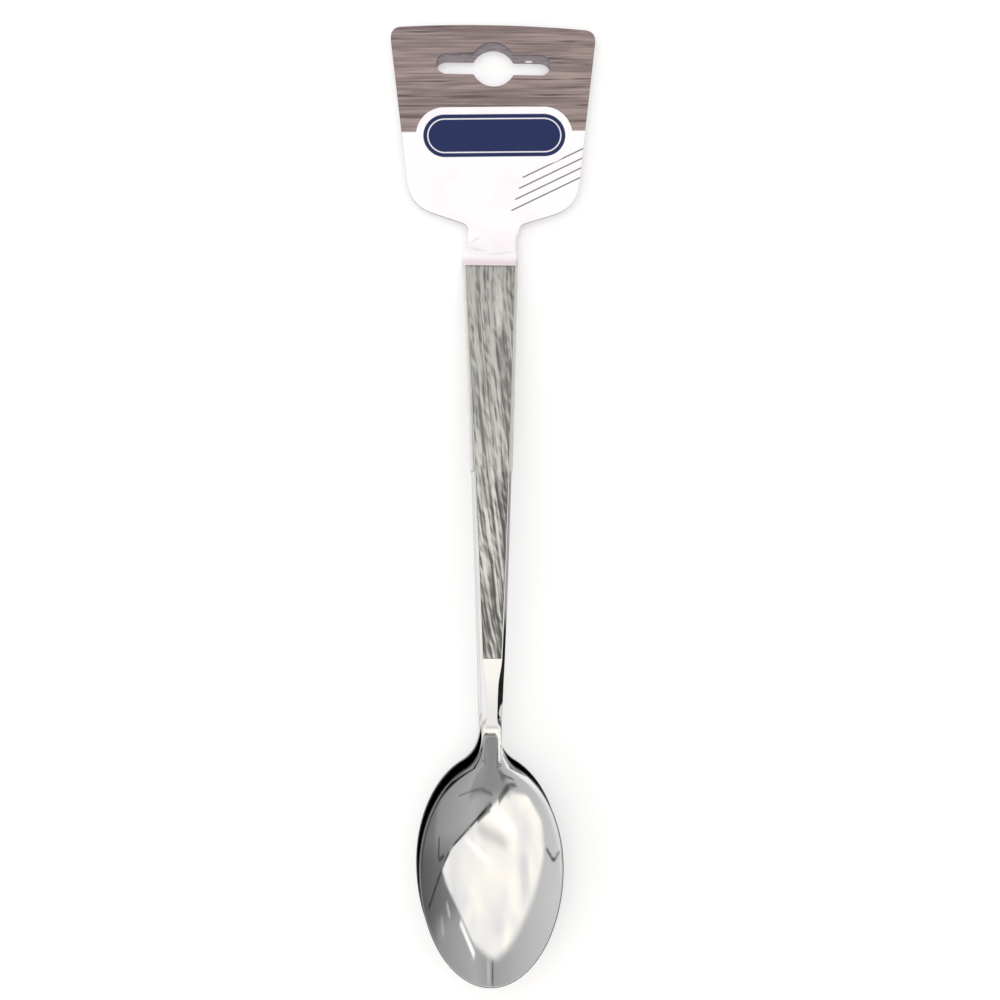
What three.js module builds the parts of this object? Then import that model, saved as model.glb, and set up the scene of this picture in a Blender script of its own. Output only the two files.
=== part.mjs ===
// A hanging pack of two tablespoons: two identical spoons stamped from sheet steel, nested one in the
// other, their handles held in a clear shrunk film sleeve whose flattened collar carries a header of two
// plies with a hanging slot. Millimetres, +Z up. The pack lies on its back with the bowls open upwards,
// X across the spoons and Y along them, from the bowl tips (-Y) to the header (+Y).
import * as THREE from "three";

// Spoon, seen from above
const SPOON_LENGTH = 205;
const BOWL_WIDTH = 40.6;
const BOWL_TIP_REACH = 33; // bowl tip to the bowl's widest line
const BOWL_SHOULDER_REACH = 30; // widest line to where the bowl's oval would close
const SHOULDER_TURN = 68; // degrees of the oval before it leaves for the neck
const NECK_FILLET_LENGTH = 9.2; // end of the oval to the neck's straight edge
const NECK_FILLET_PULL = 3.4; // how far the fillet follows the oval's tangent
const NECK_WIDTH = 5.6;
const HANDLE_END_WIDTH = 15.3;
const HANDLE_END_CORNER = 1.6;

// Spoon, seen from the side
const BOWL_DEPTH = 8; // rim to the bowl's inner floor
const BOWL_WALL = 1.2;
const TIP_LIFT = 0.3; // bowl tip above the rim at the widest line
const TIP_LIFT_RUN = 11; // length over which the tip's lift mostly falls away
const ARCH_PULL = 13.5; // control height, above the rim, that arches the handle
const ARCH_START_PULL = 22; // control lengths of the handle's curve
const ARCH_END_PULL = 95;
const NECK_THICKNESS = 2.6;
const HANDLE_END_THICKNESS = 1.9;

// Spoon, section details
const BOWL_SECTION_POWER = 2.2; // 2 is a parabola, more gives a flatter floor
const BOWL_RUNOUT_POWER = 1.6; // how gently the bowl's floor runs out into the neck
const RIM_BEVEL = 0.4;
const HANDLE_BEVEL = 0.85;
const NECK_BEVEL = 1.6; // between the bowl and the panel
const NECK_BEVEL_RUN = 4; // length over which the neck's bevel narrows to the others
const BEVEL_FALL = 0.75; // face bevel's fall over its width
const BACK_BEVEL = 0.7;
const BACK_BEVEL_FALL = 0.5;
const BEVEL_LIMIT = 0.45; // most of the half width that a bevel takes where the spoon is narrow
const PANEL_LENGTH = 113; // coined grain panel on the handle's face
const PANEL_MARGIN = 1; // handle edge to the panel
const MARGIN_LIMIT = 0.5; // most of the half width that the margin takes where the spoon is narrow
const PANEL_DEPTH = 0.2;
const PANEL_DRAFT = 0.15; // run of the panel's sloping wall and of the least rim beside it

// How the rear spoon lies in the pack
const NEST_GAP = 0.45; // clear space between the spoons
const NEST_SETBACK = 2; // rear spoon further up the pack than the front one
const NEST_TWIST = 0.25; // degrees that the rear bowl stands to the left

// Film sleeve and its collar
const SLEEVE_LENGTH = 62.7; // covered length of the handles
const FILM_WALL = 0.25;
const FILM_CLEARANCE = 0.3;
const FILM_CORNER = 0.8;
const FILM_CORNER_LIMIT = 0.45; // most of the tube's height that a corner takes
const COLLAR_LENGTH = 5.3;
const COLLAR_MOUTH = 1.4; // outer height of the collar where it is flattest

// Header
const PLY_THICKNESS = 0.3;
const PLY_GAP = 0.3;
const HINGE_GAP = 0.4; // collar or header edge to the bend line
const TAIL_WIDTH = 14.5;
const TAIL_LENGTH = 2.7;
const HEADER_SHOULDER_DROP = 5.4; // base corners down to the tail
const HEADER_BASE_WIDTH = 48.2;
const HEADER_TOP_WIDTH = 60.2;
const HEADER_HEIGHT = 52; // base corners to the top corners
const HEADER_TOP_CROWN = 0.8; // rise of the top edge's bow between its corners
const HEADER_OFFSET = 1; // header's middle to the right of the handles' middle
const HEADER_TOP_CORNER = 3.4;
const HEADER_BASE_CORNER = 7;
const TAIL_CORNER = 2;
const SLOT_WIDTH = 32.5;
const SLOT_HEIGHT = 6;
const SLOT_HOLE = 13;
const SLOT_DROP = 10.6; // top corners to the slot's middle
const BACK_SLOT_SHIFT = 2.2; // rear ply's slot sits lower by this

// Fineness of the facets
const TIP_ANGLE = 4; // degrees left flat at the bowl's tip
const SLOPE_RUN = 0.5; // length over which a slope is measured
const HALVINGS = 40; // steps of the search along a profile
const TIP_STEPS = 14;
const SHOULDER_STEPS = 10;
const FILLET_STEPS = 8;
const HANDLE_STEPS = 22;
const CORNER_STEPS = 3;
const FACE_STEPS = 8;
const BACK_STEPS = 8;
const SLEEVE_STEPS = 12;
const COLLAR_STEPS = 6;
const FILM_CORNER_STEPS = 3;
const ARC_STEPS = 8;

const radians = THREE.MathUtils.degToRad;
const mix = THREE.MathUtils.lerp;
const ease = THREE.MathUtils.smoothstep;

// Places along the spoon, measured from the bowl's tip
const ovalEnd = BOWL_TIP_REACH + BOWL_SHOULDER_REACH * Math.sin(radians(SHOULDER_TURN));
const neckStart = ovalEnd + NECK_FILLET_LENGTH;
const cornerStart = SPOON_LENGTH - HANDLE_END_CORNER;
const panelStart = SPOON_LENGTH - PANEL_LENGTH;

// The pack lies level: the sleeve under the handle's end is as low as the rear bowl's floor.
const handleEndDrop = BOWL_DEPTH + BOWL_WALL - HANDLE_END_THICKNESS - FILM_CLEARANCE - FILM_WALL;

// Half of the spoon's plan outline, x against y, from the bowl's tip to the handle's end.
function planOutline() {
  const half = BOWL_WIDTH / 2;
  const turn = radians(SHOULDER_TURN);
  const tip = new THREE.EllipseCurve(0, BOWL_TIP_REACH, half, BOWL_TIP_REACH, radians(TIP_ANGLE - 90), 0);
  const shoulder = new THREE.EllipseCurve(0, BOWL_TIP_REACH, half, BOWL_SHOULDER_REACH, 0, turn);
  const leave = shoulder.getPoint(1);
  const along = shoulder.getTangent(1).multiplyScalar(NECK_FILLET_PULL);
  const neck = new THREE.Vector2(NECK_WIDTH / 2, neckStart);
  const fillet = new THREE.CubicBezierCurve(
    leave,
    leave.clone().add(along),
    new THREE.Vector2(neck.x, neck.y - NECK_FILLET_LENGTH / 2),
    neck,
  );
  const end = new THREE.Vector2(HANDLE_END_WIDTH / 2, cornerStart);
  const corner = new THREE.EllipseCurve(
    end.x - HANDLE_END_CORNER,
    cornerStart,
    HANDLE_END_CORNER,
    HANDLE_END_CORNER,
    0,
    Math.PI / 2,
  );
  return [
    ...tip.getPoints(TIP_STEPS),
    ...shoulder.getPoints(SHOULDER_STEPS).slice(1),
    ...fillet.getPoints(FILLET_STEPS).slice(1),
    ...new THREE.LineCurve(neck, end).getPoints(HANDLE_STEPS).slice(1),
    ...corner.getPoints(CORNER_STEPS).slice(1),
  ];
}

// Half the handle's width at a distance from the bowl's tip.
function handleHalfWidth(y) {
  const share = (Math.min(y, cornerStart) - neckStart) / (cornerStart - neckStart);
  return mix(NECK_WIDTH, HANDLE_END_WIDTH, share) / 2;
}

// Side profile of the spoon's edge, y against height above the rim: along the bowl, then up the arch.
const rimLine = new THREE.CubicBezierCurve(
  new THREE.Vector2(0, TIP_LIFT),
  new THREE.Vector2(TIP_LIFT_RUN, 0),
  new THREE.Vector2(BOWL_TIP_REACH, 0),
  new THREE.Vector2(ovalEnd, 0),
);
const archLine = new THREE.CubicBezierCurve(
  new THREE.Vector2(ovalEnd, 0),
  new THREE.Vector2(ovalEnd + ARCH_START_PULL, 0),
  new THREE.Vector2(SPOON_LENGTH - ARCH_END_PULL, ARCH_PULL),
  new THREE.Vector2(SPOON_LENGTH, -handleEndDrop),
);

// Height of a profile curve at a distance y, found by halving.
function heightOn(curve, y) {
  let low = 0;
  let high = 1;
  for (let i = 0; i < HALVINGS; i++) {
    const middle = (low + high) / 2;
    if (curve.getPoint(middle).x < y) low = middle;
    else high = middle;
  }
  return curve.getPoint(high).y;
}

function edgeHeight(y) {
  return y < ovalEnd ? heightOn(rimLine, y) : heightOn(archLine, y);
}

// How far the spoon's middle lies below its edge: a parabola to the tip, easing out into the neck.
function bowlSink(y) {
  if (y >= neckStart) return 0;
  if (y < BOWL_TIP_REACH) return BOWL_DEPTH * (1 - (1 - y / BOWL_TIP_REACH) ** 2);
  const share = (y - BOWL_TIP_REACH) / (neckStart - BOWL_TIP_REACH);
  return BOWL_DEPTH * (1 - share ** 2) ** BOWL_RUNOUT_POWER;
}

// Metal thickness: thin in the bowl, thickest at the neck, drawn down again to the handle's end.
function metalThickness(y) {
  if (y < neckStart) return mix(BOWL_WALL, NECK_THICKNESS, ease(y, BOWL_TIP_REACH, neckStart));
  return mix(NECK_THICKNESS, HANDLE_END_THICKNESS, (y - neckStart) / (SPOON_LENGTH - neckStart));
}

// Width of the face's bevel: narrow on the bowl's rim, widest on the bare neck.
function faceBevel(y) {
  const bowlOrHandle = mix(RIM_BEVEL, HANDLE_BEVEL, ease(y, BOWL_TIP_REACH, neckStart));
  const leaveBowl = ease(y, neckStart - NECK_BEVEL_RUN, neckStart + NECK_BEVEL_RUN);
  const reachPanel = ease(y, panelStart - NECK_BEVEL_RUN, panelStart);
  return mix(bowlOrHandle, NECK_BEVEL, leaveBowl * (1 - reachPanel));
}

// One closed section of the spoon across Y, as a ring of points: face, right edge, back, left edge.
function spoonSection(y, halfWidth, panelSunk) {
  const bevel = Math.min(faceBevel(y), BEVEL_LIMIT * halfWidth);
  const backBevel = Math.min(BACK_BEVEL, BEVEL_LIMIT * halfWidth);
  const rim = Math.min(PANEL_MARGIN, MARGIN_LIMIT * halfWidth);
  const margin = Math.max(rim, bevel + PANEL_DRAFT);
  const edge = edgeHeight(y);
  const sink = bowlSink(y);
  const thick = metalThickness(y);
  const flat = halfWidth - bevel;
  const backFlat = halfWidth - backBevel;
  const inner = halfWidth - margin - PANEL_DRAFT * Math.min(1, rim / PANEL_MARGIN);
  const wallSlope = (sink * BOWL_SECTION_POWER) / halfWidth;
  const faceHeight = (x) => edge - sink * (1 - Math.abs(x / halfWidth) ** BOWL_SECTION_POWER);
  const slope = (x) => wallSlope * Math.abs(x / halfWidth) ** (BOWL_SECTION_POWER - 1);
  const backHeight = (x) => faceHeight(x) - thick * Math.hypot(1, slope(x));
  const floor = panelSunk ? PANEL_DEPTH : 0;

  const face = [new THREE.Vector3(-flat, y, faceHeight(flat))];
  face.push(new THREE.Vector3(margin - halfWidth, y, faceHeight(halfWidth - margin)));
  for (let i = 0; i <= FACE_STEPS; i++) {
    const x = mix(-inner, inner, i / FACE_STEPS);
    face.push(new THREE.Vector3(x, y, faceHeight(x) - floor));
  }
  face.push(new THREE.Vector3(halfWidth - margin, y, faceHeight(halfWidth - margin)));
  face.push(new THREE.Vector3(flat, y, faceHeight(flat)));

  const back = [];
  for (let i = 0; i <= BACK_STEPS; i++) {
    const x = mix(backFlat, -backFlat, i / BACK_STEPS);
    back.push(new THREE.Vector3(x, y, backHeight(x)));
  }
  const side = (x) => [
    new THREE.Vector3(x, y, faceHeight(halfWidth) - bevel * BEVEL_FALL),
    new THREE.Vector3(x, y, backHeight(halfWidth) + backBevel * BACK_BEVEL_FALL),
  ];
  return [...face, ...side(halfWidth), ...back, ...side(-halfWidth).reverse()];
}

// Triangles between two neighbouring rings of a skin, wound to face outwards, or inwards if turned.
function ringFaces(first, second, count, turned) {
  const faces = [];
  for (let i = 0; i < count; i++) {
    const a = first + i;
    const b = first + ((i + 1) % count);
    const c = second + ((i + 1) % count);
    const d = second + i;
    faces.push(...(turned ? [a, c, b, a, d, c] : [a, b, c, a, c, d]));
  }
  return faces;
}

function geometryOf(points, faces) {
  const geometry = new THREE.BufferGeometry().setFromPoints(points);
  geometry.setIndex(faces);
  geometry.computeVertexNormals();
  return geometry;
}

// A solid skin over a row of rings, with a flat cap on each end.
function loft(rings) {
  const count = rings[0].length;
  const faces = [];
  for (let r = 0; r + 1 < rings.length; r++) {
    faces.push(...ringFaces(r * count, (r + 1) * count, count, false));
  }
  const cap = (ring, start, turned) => {
    const flat = ring.map((p) => new THREE.Vector2(p.x, p.z));
    for (const [a, b, c] of THREE.ShapeUtils.triangulateShape(flat, [])) {
      faces.push(start + a, ...(turned ? [start + c, start + b] : [start + b, start + c]));
    }
  };
  cap(rings[0], 0, false);
  cap(rings[rings.length - 1], (rings.length - 1) * count, true);
  return geometryOf(rings.flat(), faces);
}

// An open tube between two rows of rings, closed by a band at each end.
function tube(outer, inner) {
  const count = outer[0].length;
  const shift = outer.length * count;
  const last = (outer.length - 1) * count;
  const faces = [];
  for (let r = 0; r + 1 < outer.length; r++) {
    faces.push(...ringFaces(r * count, (r + 1) * count, count, false));
    faces.push(...ringFaces(shift + r * count, shift + (r + 1) * count, count, true));
  }
  faces.push(...ringFaces(0, shift, count, true));
  faces.push(...ringFaces(last, shift + last, count, false));
  return geometryOf([...outer.flat(), ...inner.flat()], faces);
}

// The stamped spoon, tip at y = 0, rim height at z = 0. The panel's wall adds two sections.
function spoonGeometry() {
  const rings = [];
  let sunk = false;
  for (const { x, y } of planOutline()) {
    if (!sunk && y > panelStart + PANEL_DRAFT) {
      rings.push(spoonSection(panelStart, handleHalfWidth(panelStart), false));
      rings.push(spoonSection(panelStart + PANEL_DRAFT, handleHalfWidth(panelStart + PANEL_DRAFT), true));
      sunk = true;
    }
    if (sunk || y < panelStart) rings.push(spoonSection(y, x, sunk));
  }
  return loft(rings);
}

// Height that lifts the front spoon clear of the rear one where its edge runs at a slope.
function nestHeight(y) {
  const slope = (edgeHeight(y) - edgeHeight(y - SLOPE_RUN)) / SLOPE_RUN;
  return (metalThickness(y) + NEST_GAP) * Math.hypot(1, slope) - slope * NEST_SETBACK;
}

// The front spoon lies clear of the rear one at the handle's end and, as the metal is thicker, at the neck.
const nestAtEnd = nestHeight(SPOON_LENGTH);
const nestTilt = Math.atan((nestHeight(neckStart) - nestAtEnd) / (SPOON_LENGTH - neckStart));

// Height of the front spoon's face over the rear spoon's frame.
function frontFaceHeight(y) {
  return edgeHeight(y + NEST_SETBACK) + nestAtEnd + Math.tan(nestTilt) * (SPOON_LENGTH - y);
}

// A rounded rectangle across Y about a middle x, from its half width and its top and bottom heights.
function filmRing(middle, y, half, top, bottom, corner) {
  const radius = Math.min(corner, FILM_CORNER_LIMIT * (top - bottom));
  const ring = [];
  const centres = [
    [half - radius, top - radius, 90],
    [half - radius, bottom + radius, 0],
    [radius - half, bottom + radius, -90],
    [radius - half, top - radius, -180],
  ];
  for (const [x, z, from] of centres) {
    for (let i = 0; i <= FILM_CORNER_STEPS; i++) {
      const angle = radians(from - (90 * i) / FILM_CORNER_STEPS);
      ring.push(new THREE.Vector3(middle + x + radius * Math.cos(angle), y, z + radius * Math.sin(angle)));
    }
  }
  return ring;
}

// Space that the two handles take at a distance y, with the film's clearance round it.
function handleSpace(y) {
  const onFront = Math.min(y, SPOON_LENGTH - NEST_SETBACK);
  const onRear = Math.min(y, SPOON_LENGTH);
  const lean = radians(NEST_TWIST) * (SPOON_LENGTH - onRear);
  return {
    half: handleHalfWidth(y + NEST_SETBACK) + lean + FILM_CLEARANCE,
    top: frontFaceHeight(onFront) + FILM_CLEARANCE,
    bottom: edgeHeight(onRear) - metalThickness(onRear) - FILM_CLEARANCE,
  };
}

// The sleeve shrunk on both handles, then the collar that flattens towards the header.
const stackEnd = SPOON_LENGTH + FILM_CLEARANCE;
const collarEnd = stackEnd + COLLAR_LENGTH;
const endSpace = handleSpace(stackEnd);
const headerHeight = (endSpace.top + endSpace.bottom) / 2;

function sleeveGeometry() {
  const outer = [];
  const inner = [];
  const add = (middle, y, half, top, bottom) => {
    const wall = FILM_WALL;
    inner.push(filmRing(middle, y, half, top, bottom, FILM_CORNER));
    outer.push(filmRing(middle, y, half + wall, top + wall, bottom - wall, FILM_CORNER + wall));
  };
  for (let i = 0; i <= SLEEVE_STEPS; i++) {
    const y = mix(SPOON_LENGTH - SLEEVE_LENGTH, stackEnd, i / SLEEVE_STEPS);
    const { half, top, bottom } = handleSpace(y);
    add(0, y, half, top, bottom);
  }
  const mouth = COLLAR_MOUTH / 2 - FILM_WALL;
  for (let i = 1; i <= COLLAR_STEPS; i++) {
    const share = i / COLLAR_STEPS;
    const flatter = ease(share, 0, 1);
    add(
      mix(0, HEADER_OFFSET, flatter),
      mix(stackEnd, collarEnd, share),
      mix(endSpace.half, TAIL_WIDTH / 2 - FILM_WALL, flatter),
      mix(endSpace.top, headerHeight + mouth, flatter),
      mix(endSpace.bottom, headerHeight - mouth, flatter),
    );
  }
  return tube(outer, inner);
}

// A closed outline through corner points, each rounded by its own radius. A bow lifts the run to a corner.
function roundedOutline(corners) {
  const shape = new THREE.Shape();
  corners.forEach(({ x, y, round, bow }, i) => {
    const here = new THREE.Vector2(x, y);
    const before = corners[(i + corners.length - 1) % corners.length];
    const after = corners[(i + 1) % corners.length];
    const enter = new THREE.Vector2(before.x - x, before.y - y).setLength(round).add(here);
    const leave = new THREE.Vector2(after.x - x, after.y - y).setLength(round).add(here);
    if (i === 0) shape.moveTo(enter.x, enter.y);
    else if (bow) shape.quadraticCurveTo((before.x + x) / 2, y + 2 * bow, enter.x, enter.y);
    else shape.lineTo(enter.x, enter.y);
    if (round > 0) shape.quadraticCurveTo(x, y, leave.x, leave.y);
  });
  shape.closePath();
  return shape;
}

// The hanging slot: a round hole with a straight wing on each side.
function hangingSlot(middle) {
  const wing = SLOT_HEIGHT / 2;
  const reach = SLOT_WIDTH / 2 - wing;
  const hole = SLOT_HOLE / 2;
  const meet = Math.asin(wing / hole);
  const path = new THREE.Path();
  path.absarc(-reach, middle, wing, Math.PI / 2, (3 * Math.PI) / 2, false);
  path.absarc(0, middle, hole, Math.PI + meet, 2 * Math.PI - meet, false);
  path.absarc(reach, middle, wing, -Math.PI / 2, Math.PI / 2, false);
  path.absarc(0, middle, hole, meet, Math.PI - meet, false);
  path.closePath();
  return path;
}

// One ply of the header, drawn from its tail up.
function plyGeometry(slotShift) {
  const tailEnd = TAIL_LENGTH;
  const base = tailEnd + HEADER_SHOULDER_DROP;
  const top = base + HEADER_HEIGHT;
  const right = [
    { x: TAIL_WIDTH / 2, y: 0, round: 0 },
    { x: TAIL_WIDTH / 2, y: tailEnd, round: Math.min(TAIL_CORNER, TAIL_LENGTH) },
    { x: HEADER_BASE_WIDTH / 2, y: base, round: HEADER_BASE_CORNER },
    { x: HEADER_TOP_WIDTH / 2, y: top, round: HEADER_TOP_CORNER },
  ];
  const left = right.map((corner) => ({ ...corner, x: -corner.x })).reverse();
  left[0].bow = HEADER_TOP_CROWN;
  const outline = roundedOutline([...right, ...left]);
  outline.holes.push(hangingSlot(top - SLOT_DROP - slotShift));
  return new THREE.ExtrudeGeometry(outline, {
    depth: PLY_THICKNESS,
    bevelEnabled: false,
    curveSegments: ARC_STEPS,
  });
}

// Finishes
const polishedSteel = new THREE.MeshStandardMaterial({ color: 0xc9c8c6, roughness: 0.12, metalness: 1 });
const clearFilm = new THREE.MeshStandardMaterial({
  color: 0xf3f1ee,
  roughness: 0.15,
  metalness: 0,
  transparent: true,
  opacity: 0.25,
});
const printedPly = new THREE.MeshStandardMaterial({ color: 0xe9e4e4, roughness: 0.45, metalness: 0 });
const plainPly = new THREE.MeshStandardMaterial({ color: 0xd4d2d6, roughness: 0.5, metalness: 0 });

function mesh(name, geometry, material) {
  const made = new THREE.Mesh(geometry, material);
  made.name = name;
  return made;
}

// Spoons: each hangs in a group whose origin is the middle of its handle's end.
const spoon = spoonGeometry();
spoon.translate(0, -SPOON_LENGTH, 0);

const rearSpoon = new THREE.Group();
rearSpoon.position.set(0, SPOON_LENGTH, 0);
rearSpoon.rotation.z = -radians(NEST_TWIST);
rearSpoon.add(mesh("tablespoon_rear", spoon, polishedSteel));

const frontSpoon = new THREE.Group();
frontSpoon.position.set(0, SPOON_LENGTH - NEST_SETBACK, nestAtEnd);
frontSpoon.rotation.x = -nestTilt;
frontSpoon.add(mesh("tablespoon_front", spoon, polishedSteel));

// Header: both plies stand above and below the bend line's height.
const header = new THREE.Group();
header.position.set(HEADER_OFFSET, collarEnd + 2 * HINGE_GAP, headerHeight);
const frontPly = mesh("header_front_ply", plyGeometry(0), printedPly);
frontPly.position.z = PLY_GAP / 2;
const backPly = mesh("header_back_ply", plyGeometry(BACK_SLOT_SHIFT), plainPly);
backPly.position.z = -PLY_GAP / 2 - PLY_THICKNESS;
header.add(frontPly, backPly);

// The whole pack, with its origin under the middle of its outer box.
const contents = new THREE.Group();
contents.add(rearSpoon, frontSpoon, mesh("film_sleeve", sleeveGeometry(), clearFilm), header);
const box = new THREE.Box3().setFromObject(contents, true);
const middle = box.getCenter(new THREE.Vector3());
contents.position.set(-middle.x, -middle.y, -box.min.z);

const pack = new THREE.Group();
pack.add(contents);

export default pack;
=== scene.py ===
"""Looks of a hanging pack of two nested tablespoons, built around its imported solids.

Sizes are millimetres in the pack's own frame: X across the spoons, Y from the bowls' tips to the header,
Z up from the surface that the pack lies on.
"""

import logging
import math
from collections.abc import Sequence
from dataclasses import dataclass, field
from enum import Enum
from typing import ClassVar

import bmesh
import bpy
import numpy as np
from mathutils import Euler, Matrix, Vector


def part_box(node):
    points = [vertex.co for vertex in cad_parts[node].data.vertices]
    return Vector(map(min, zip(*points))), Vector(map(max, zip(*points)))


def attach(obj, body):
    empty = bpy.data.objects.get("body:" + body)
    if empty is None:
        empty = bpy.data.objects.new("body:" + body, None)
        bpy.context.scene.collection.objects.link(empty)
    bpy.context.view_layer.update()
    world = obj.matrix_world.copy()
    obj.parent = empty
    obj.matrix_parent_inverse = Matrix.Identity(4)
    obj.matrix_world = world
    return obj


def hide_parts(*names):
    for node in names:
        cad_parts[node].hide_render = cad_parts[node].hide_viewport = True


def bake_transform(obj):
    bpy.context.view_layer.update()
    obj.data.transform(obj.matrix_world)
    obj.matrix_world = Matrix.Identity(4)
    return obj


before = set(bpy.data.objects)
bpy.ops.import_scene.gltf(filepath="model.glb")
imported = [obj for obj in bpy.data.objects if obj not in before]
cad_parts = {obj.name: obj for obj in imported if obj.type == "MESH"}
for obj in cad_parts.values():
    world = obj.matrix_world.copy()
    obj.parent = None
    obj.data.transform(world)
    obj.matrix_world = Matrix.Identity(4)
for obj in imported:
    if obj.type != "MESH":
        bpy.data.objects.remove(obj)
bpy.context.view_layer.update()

MM = 0.001  # one millimetre in Blender's metres
PER_METRE = 1000.0
TINY = 1e-6  # keeps a divisor from 0
LATTICE = 64  # points each way in a tile of noise
STAGGER = 0.618  # share of a cell by which one column of a grain is moved along the next

Array = np.ndarray
Colour = tuple[float, float, float, float]
Span = tuple[float, float]
Triple = tuple[float, float, float]
Point = tuple[float, float]
Quad = tuple[int, int, int, int]
log = logging.getLogger("tablespoon_pack")


def srgb(red: int, green: int, blue: int) -> Colour:
    """Turn a colour that is written as it is seen into a linear one.

    Args:
        red: Red level, 0 to 255.
        green: Green level, 0 to 255.
        blue: Blue level, 0 to 255.

    Returns:
        The linear colour with full opacity.
    """
    shares = (level / 255 for level in (red, green, blue))
    return (*(s / 12.92 if s <= 0.04045 else ((s + 0.055) / 1.055) ** 2.4 for s in shares), 1.0)


def mix(first: Array, second: Array, share: Array) -> Array:
    """Go from the first value to the second by a share."""
    return first + (second - first) * share


def ease(value: Array, low: float, high: float) -> Array:
    """Rise smoothly from 0 at the low mark to 1 at the high mark."""
    share = np.clip((value - low) / (high - low), 0, 1)
    return share * share * (3 - 2 * share)


def round_drop(distance: Array, radius: float) -> Array:
    """How far a rounded edge falls away at distances from it."""
    inside = np.minimum(distance, radius)
    return radius - np.sqrt(radius**2 - (radius - inside) ** 2)


def bezier(points: Sequence[Point], shares: Array) -> Array:
    """Sample a cubic curve.

    Args:
        points: Its four control points.
        shares: Places along it, from 0 to 1.

    Returns:
        One point for each share.
    """
    a, b, c, d = (np.array(point, float) for point in points)
    s = np.asarray(shares, float)[:, None]
    return (1 - s) ** 3 * a + 3 * s * (1 - s) ** 2 * b + 3 * s * s * (1 - s) * c + s**3 * d


def noise(across: Array, along: Array, seed: int) -> Array:
    """Smooth seeded noise over two coordinates.

    Args:
        across: First coordinate, in steps of the noise.
        along: Second coordinate, in steps of the noise.
        seed: Which noise it is.

    Returns:
        Values from 0 to 1.
    """
    lattice = np.random.default_rng(seed).random((LATTICE, LATTICE))
    column = np.floor(across).astype(int)
    row = np.floor(along).astype(int)
    u = ease(across - column, 0, 1)
    v = ease(along - row, 0, 1)

    def at(right: int, up: int) -> Array:
        """Lattice value at a corner of each point's cell."""
        return lattice[(column + right) % LATTICE, (row + up) % LATTICE]

    return mix(mix(at(0, 0), at(1, 0), u), mix(at(0, 1), at(1, 1), u), v)


def node_box(node: str) -> tuple[Array, Array]:
    """Lowest and highest corner of a solid, in millimetres."""
    low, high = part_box(node)
    return np.array(low) * PER_METRE, np.array(high) * PER_METRE


def put(name: str, data: bpy.types.ID) -> bpy.types.Object:
    """Put an object with this data in the scene."""
    thing = bpy.data.objects.new(name, data)
    bpy.context.scene.collection.objects.link(thing)
    return thing


def make_piece(
    name: str,
    points: Array,
    faces: Sequence[Sequence[int]],
    marks: dict[str, Array],
    crease: float,
) -> bpy.types.Object:
    """Make a smooth closed mesh object.

    Args:
        name: The piece's name.
        points: Its points in millimetres.
        faces: Point numbers of each face.
        marks: Values kept on the points for the finish to read, by name.
        crease: Degrees between faces from which an edge stays sharp.

    Returns:
        The object, in the scene.
    """
    mesh = bpy.data.meshes.new(name)
    mesh.from_pydata((points * MM).tolist(), [], [tuple(face) for face in faces])
    for label, values in marks.items():
        layer = mesh.attributes.new(label, "FLOAT", "POINT")
        layer.data.foreach_set("value", np.ascontiguousarray(values, np.float32))
    shaped = bmesh.new()
    shaped.from_mesh(mesh)
    bmesh.ops.recalc_face_normals(shaped, faces=shaped.faces)
    shaped.to_mesh(mesh)
    shaped.free()
    mesh.shade_smooth()
    mesh.set_sharp_from_angle(angle=math.radians(crease))
    return put(name, mesh)


def ring_faces(first: int, second: int, count: int) -> list[Quad]:
    """Quads between two closed rings.

    Args:
        first: Number of the first ring's first point.
        second: Number of the second ring's first point.
        count: Points in a ring.

    Returns:
        The quads' point numbers.
    """
    after = [(i + 1) % count for i in range(count)]
    return [(first + i, first + n, second + n, second + i) for i, n in enumerate(after)]


def skin_faces(rings: int, count: int, start: int = 0) -> list[Quad]:
    """Quads of a skin over a row of closed rings.

    Args:
        rings: How many rings there are.
        count: Points in a ring.
        start: Number of the first ring's first point.

    Returns:
        The quads' point numbers.
    """
    faces = []
    for ring in range(rings - 1):
        faces += ring_faces(start + ring * count, start + (ring + 1) * count, count)
    return faces


def tube_faces(rings: int, count: int) -> list[Quad]:
    """Quads of a thin open tube: its outer skin, then its inner skin, and a band at each end."""
    inner = rings * count
    last = (rings - 1) * count
    ends = ring_faces(0, inner, count) + ring_faces(last, inner + last, count)
    return skin_faces(rings, count) + skin_faces(rings, count, inner) + ends


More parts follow.
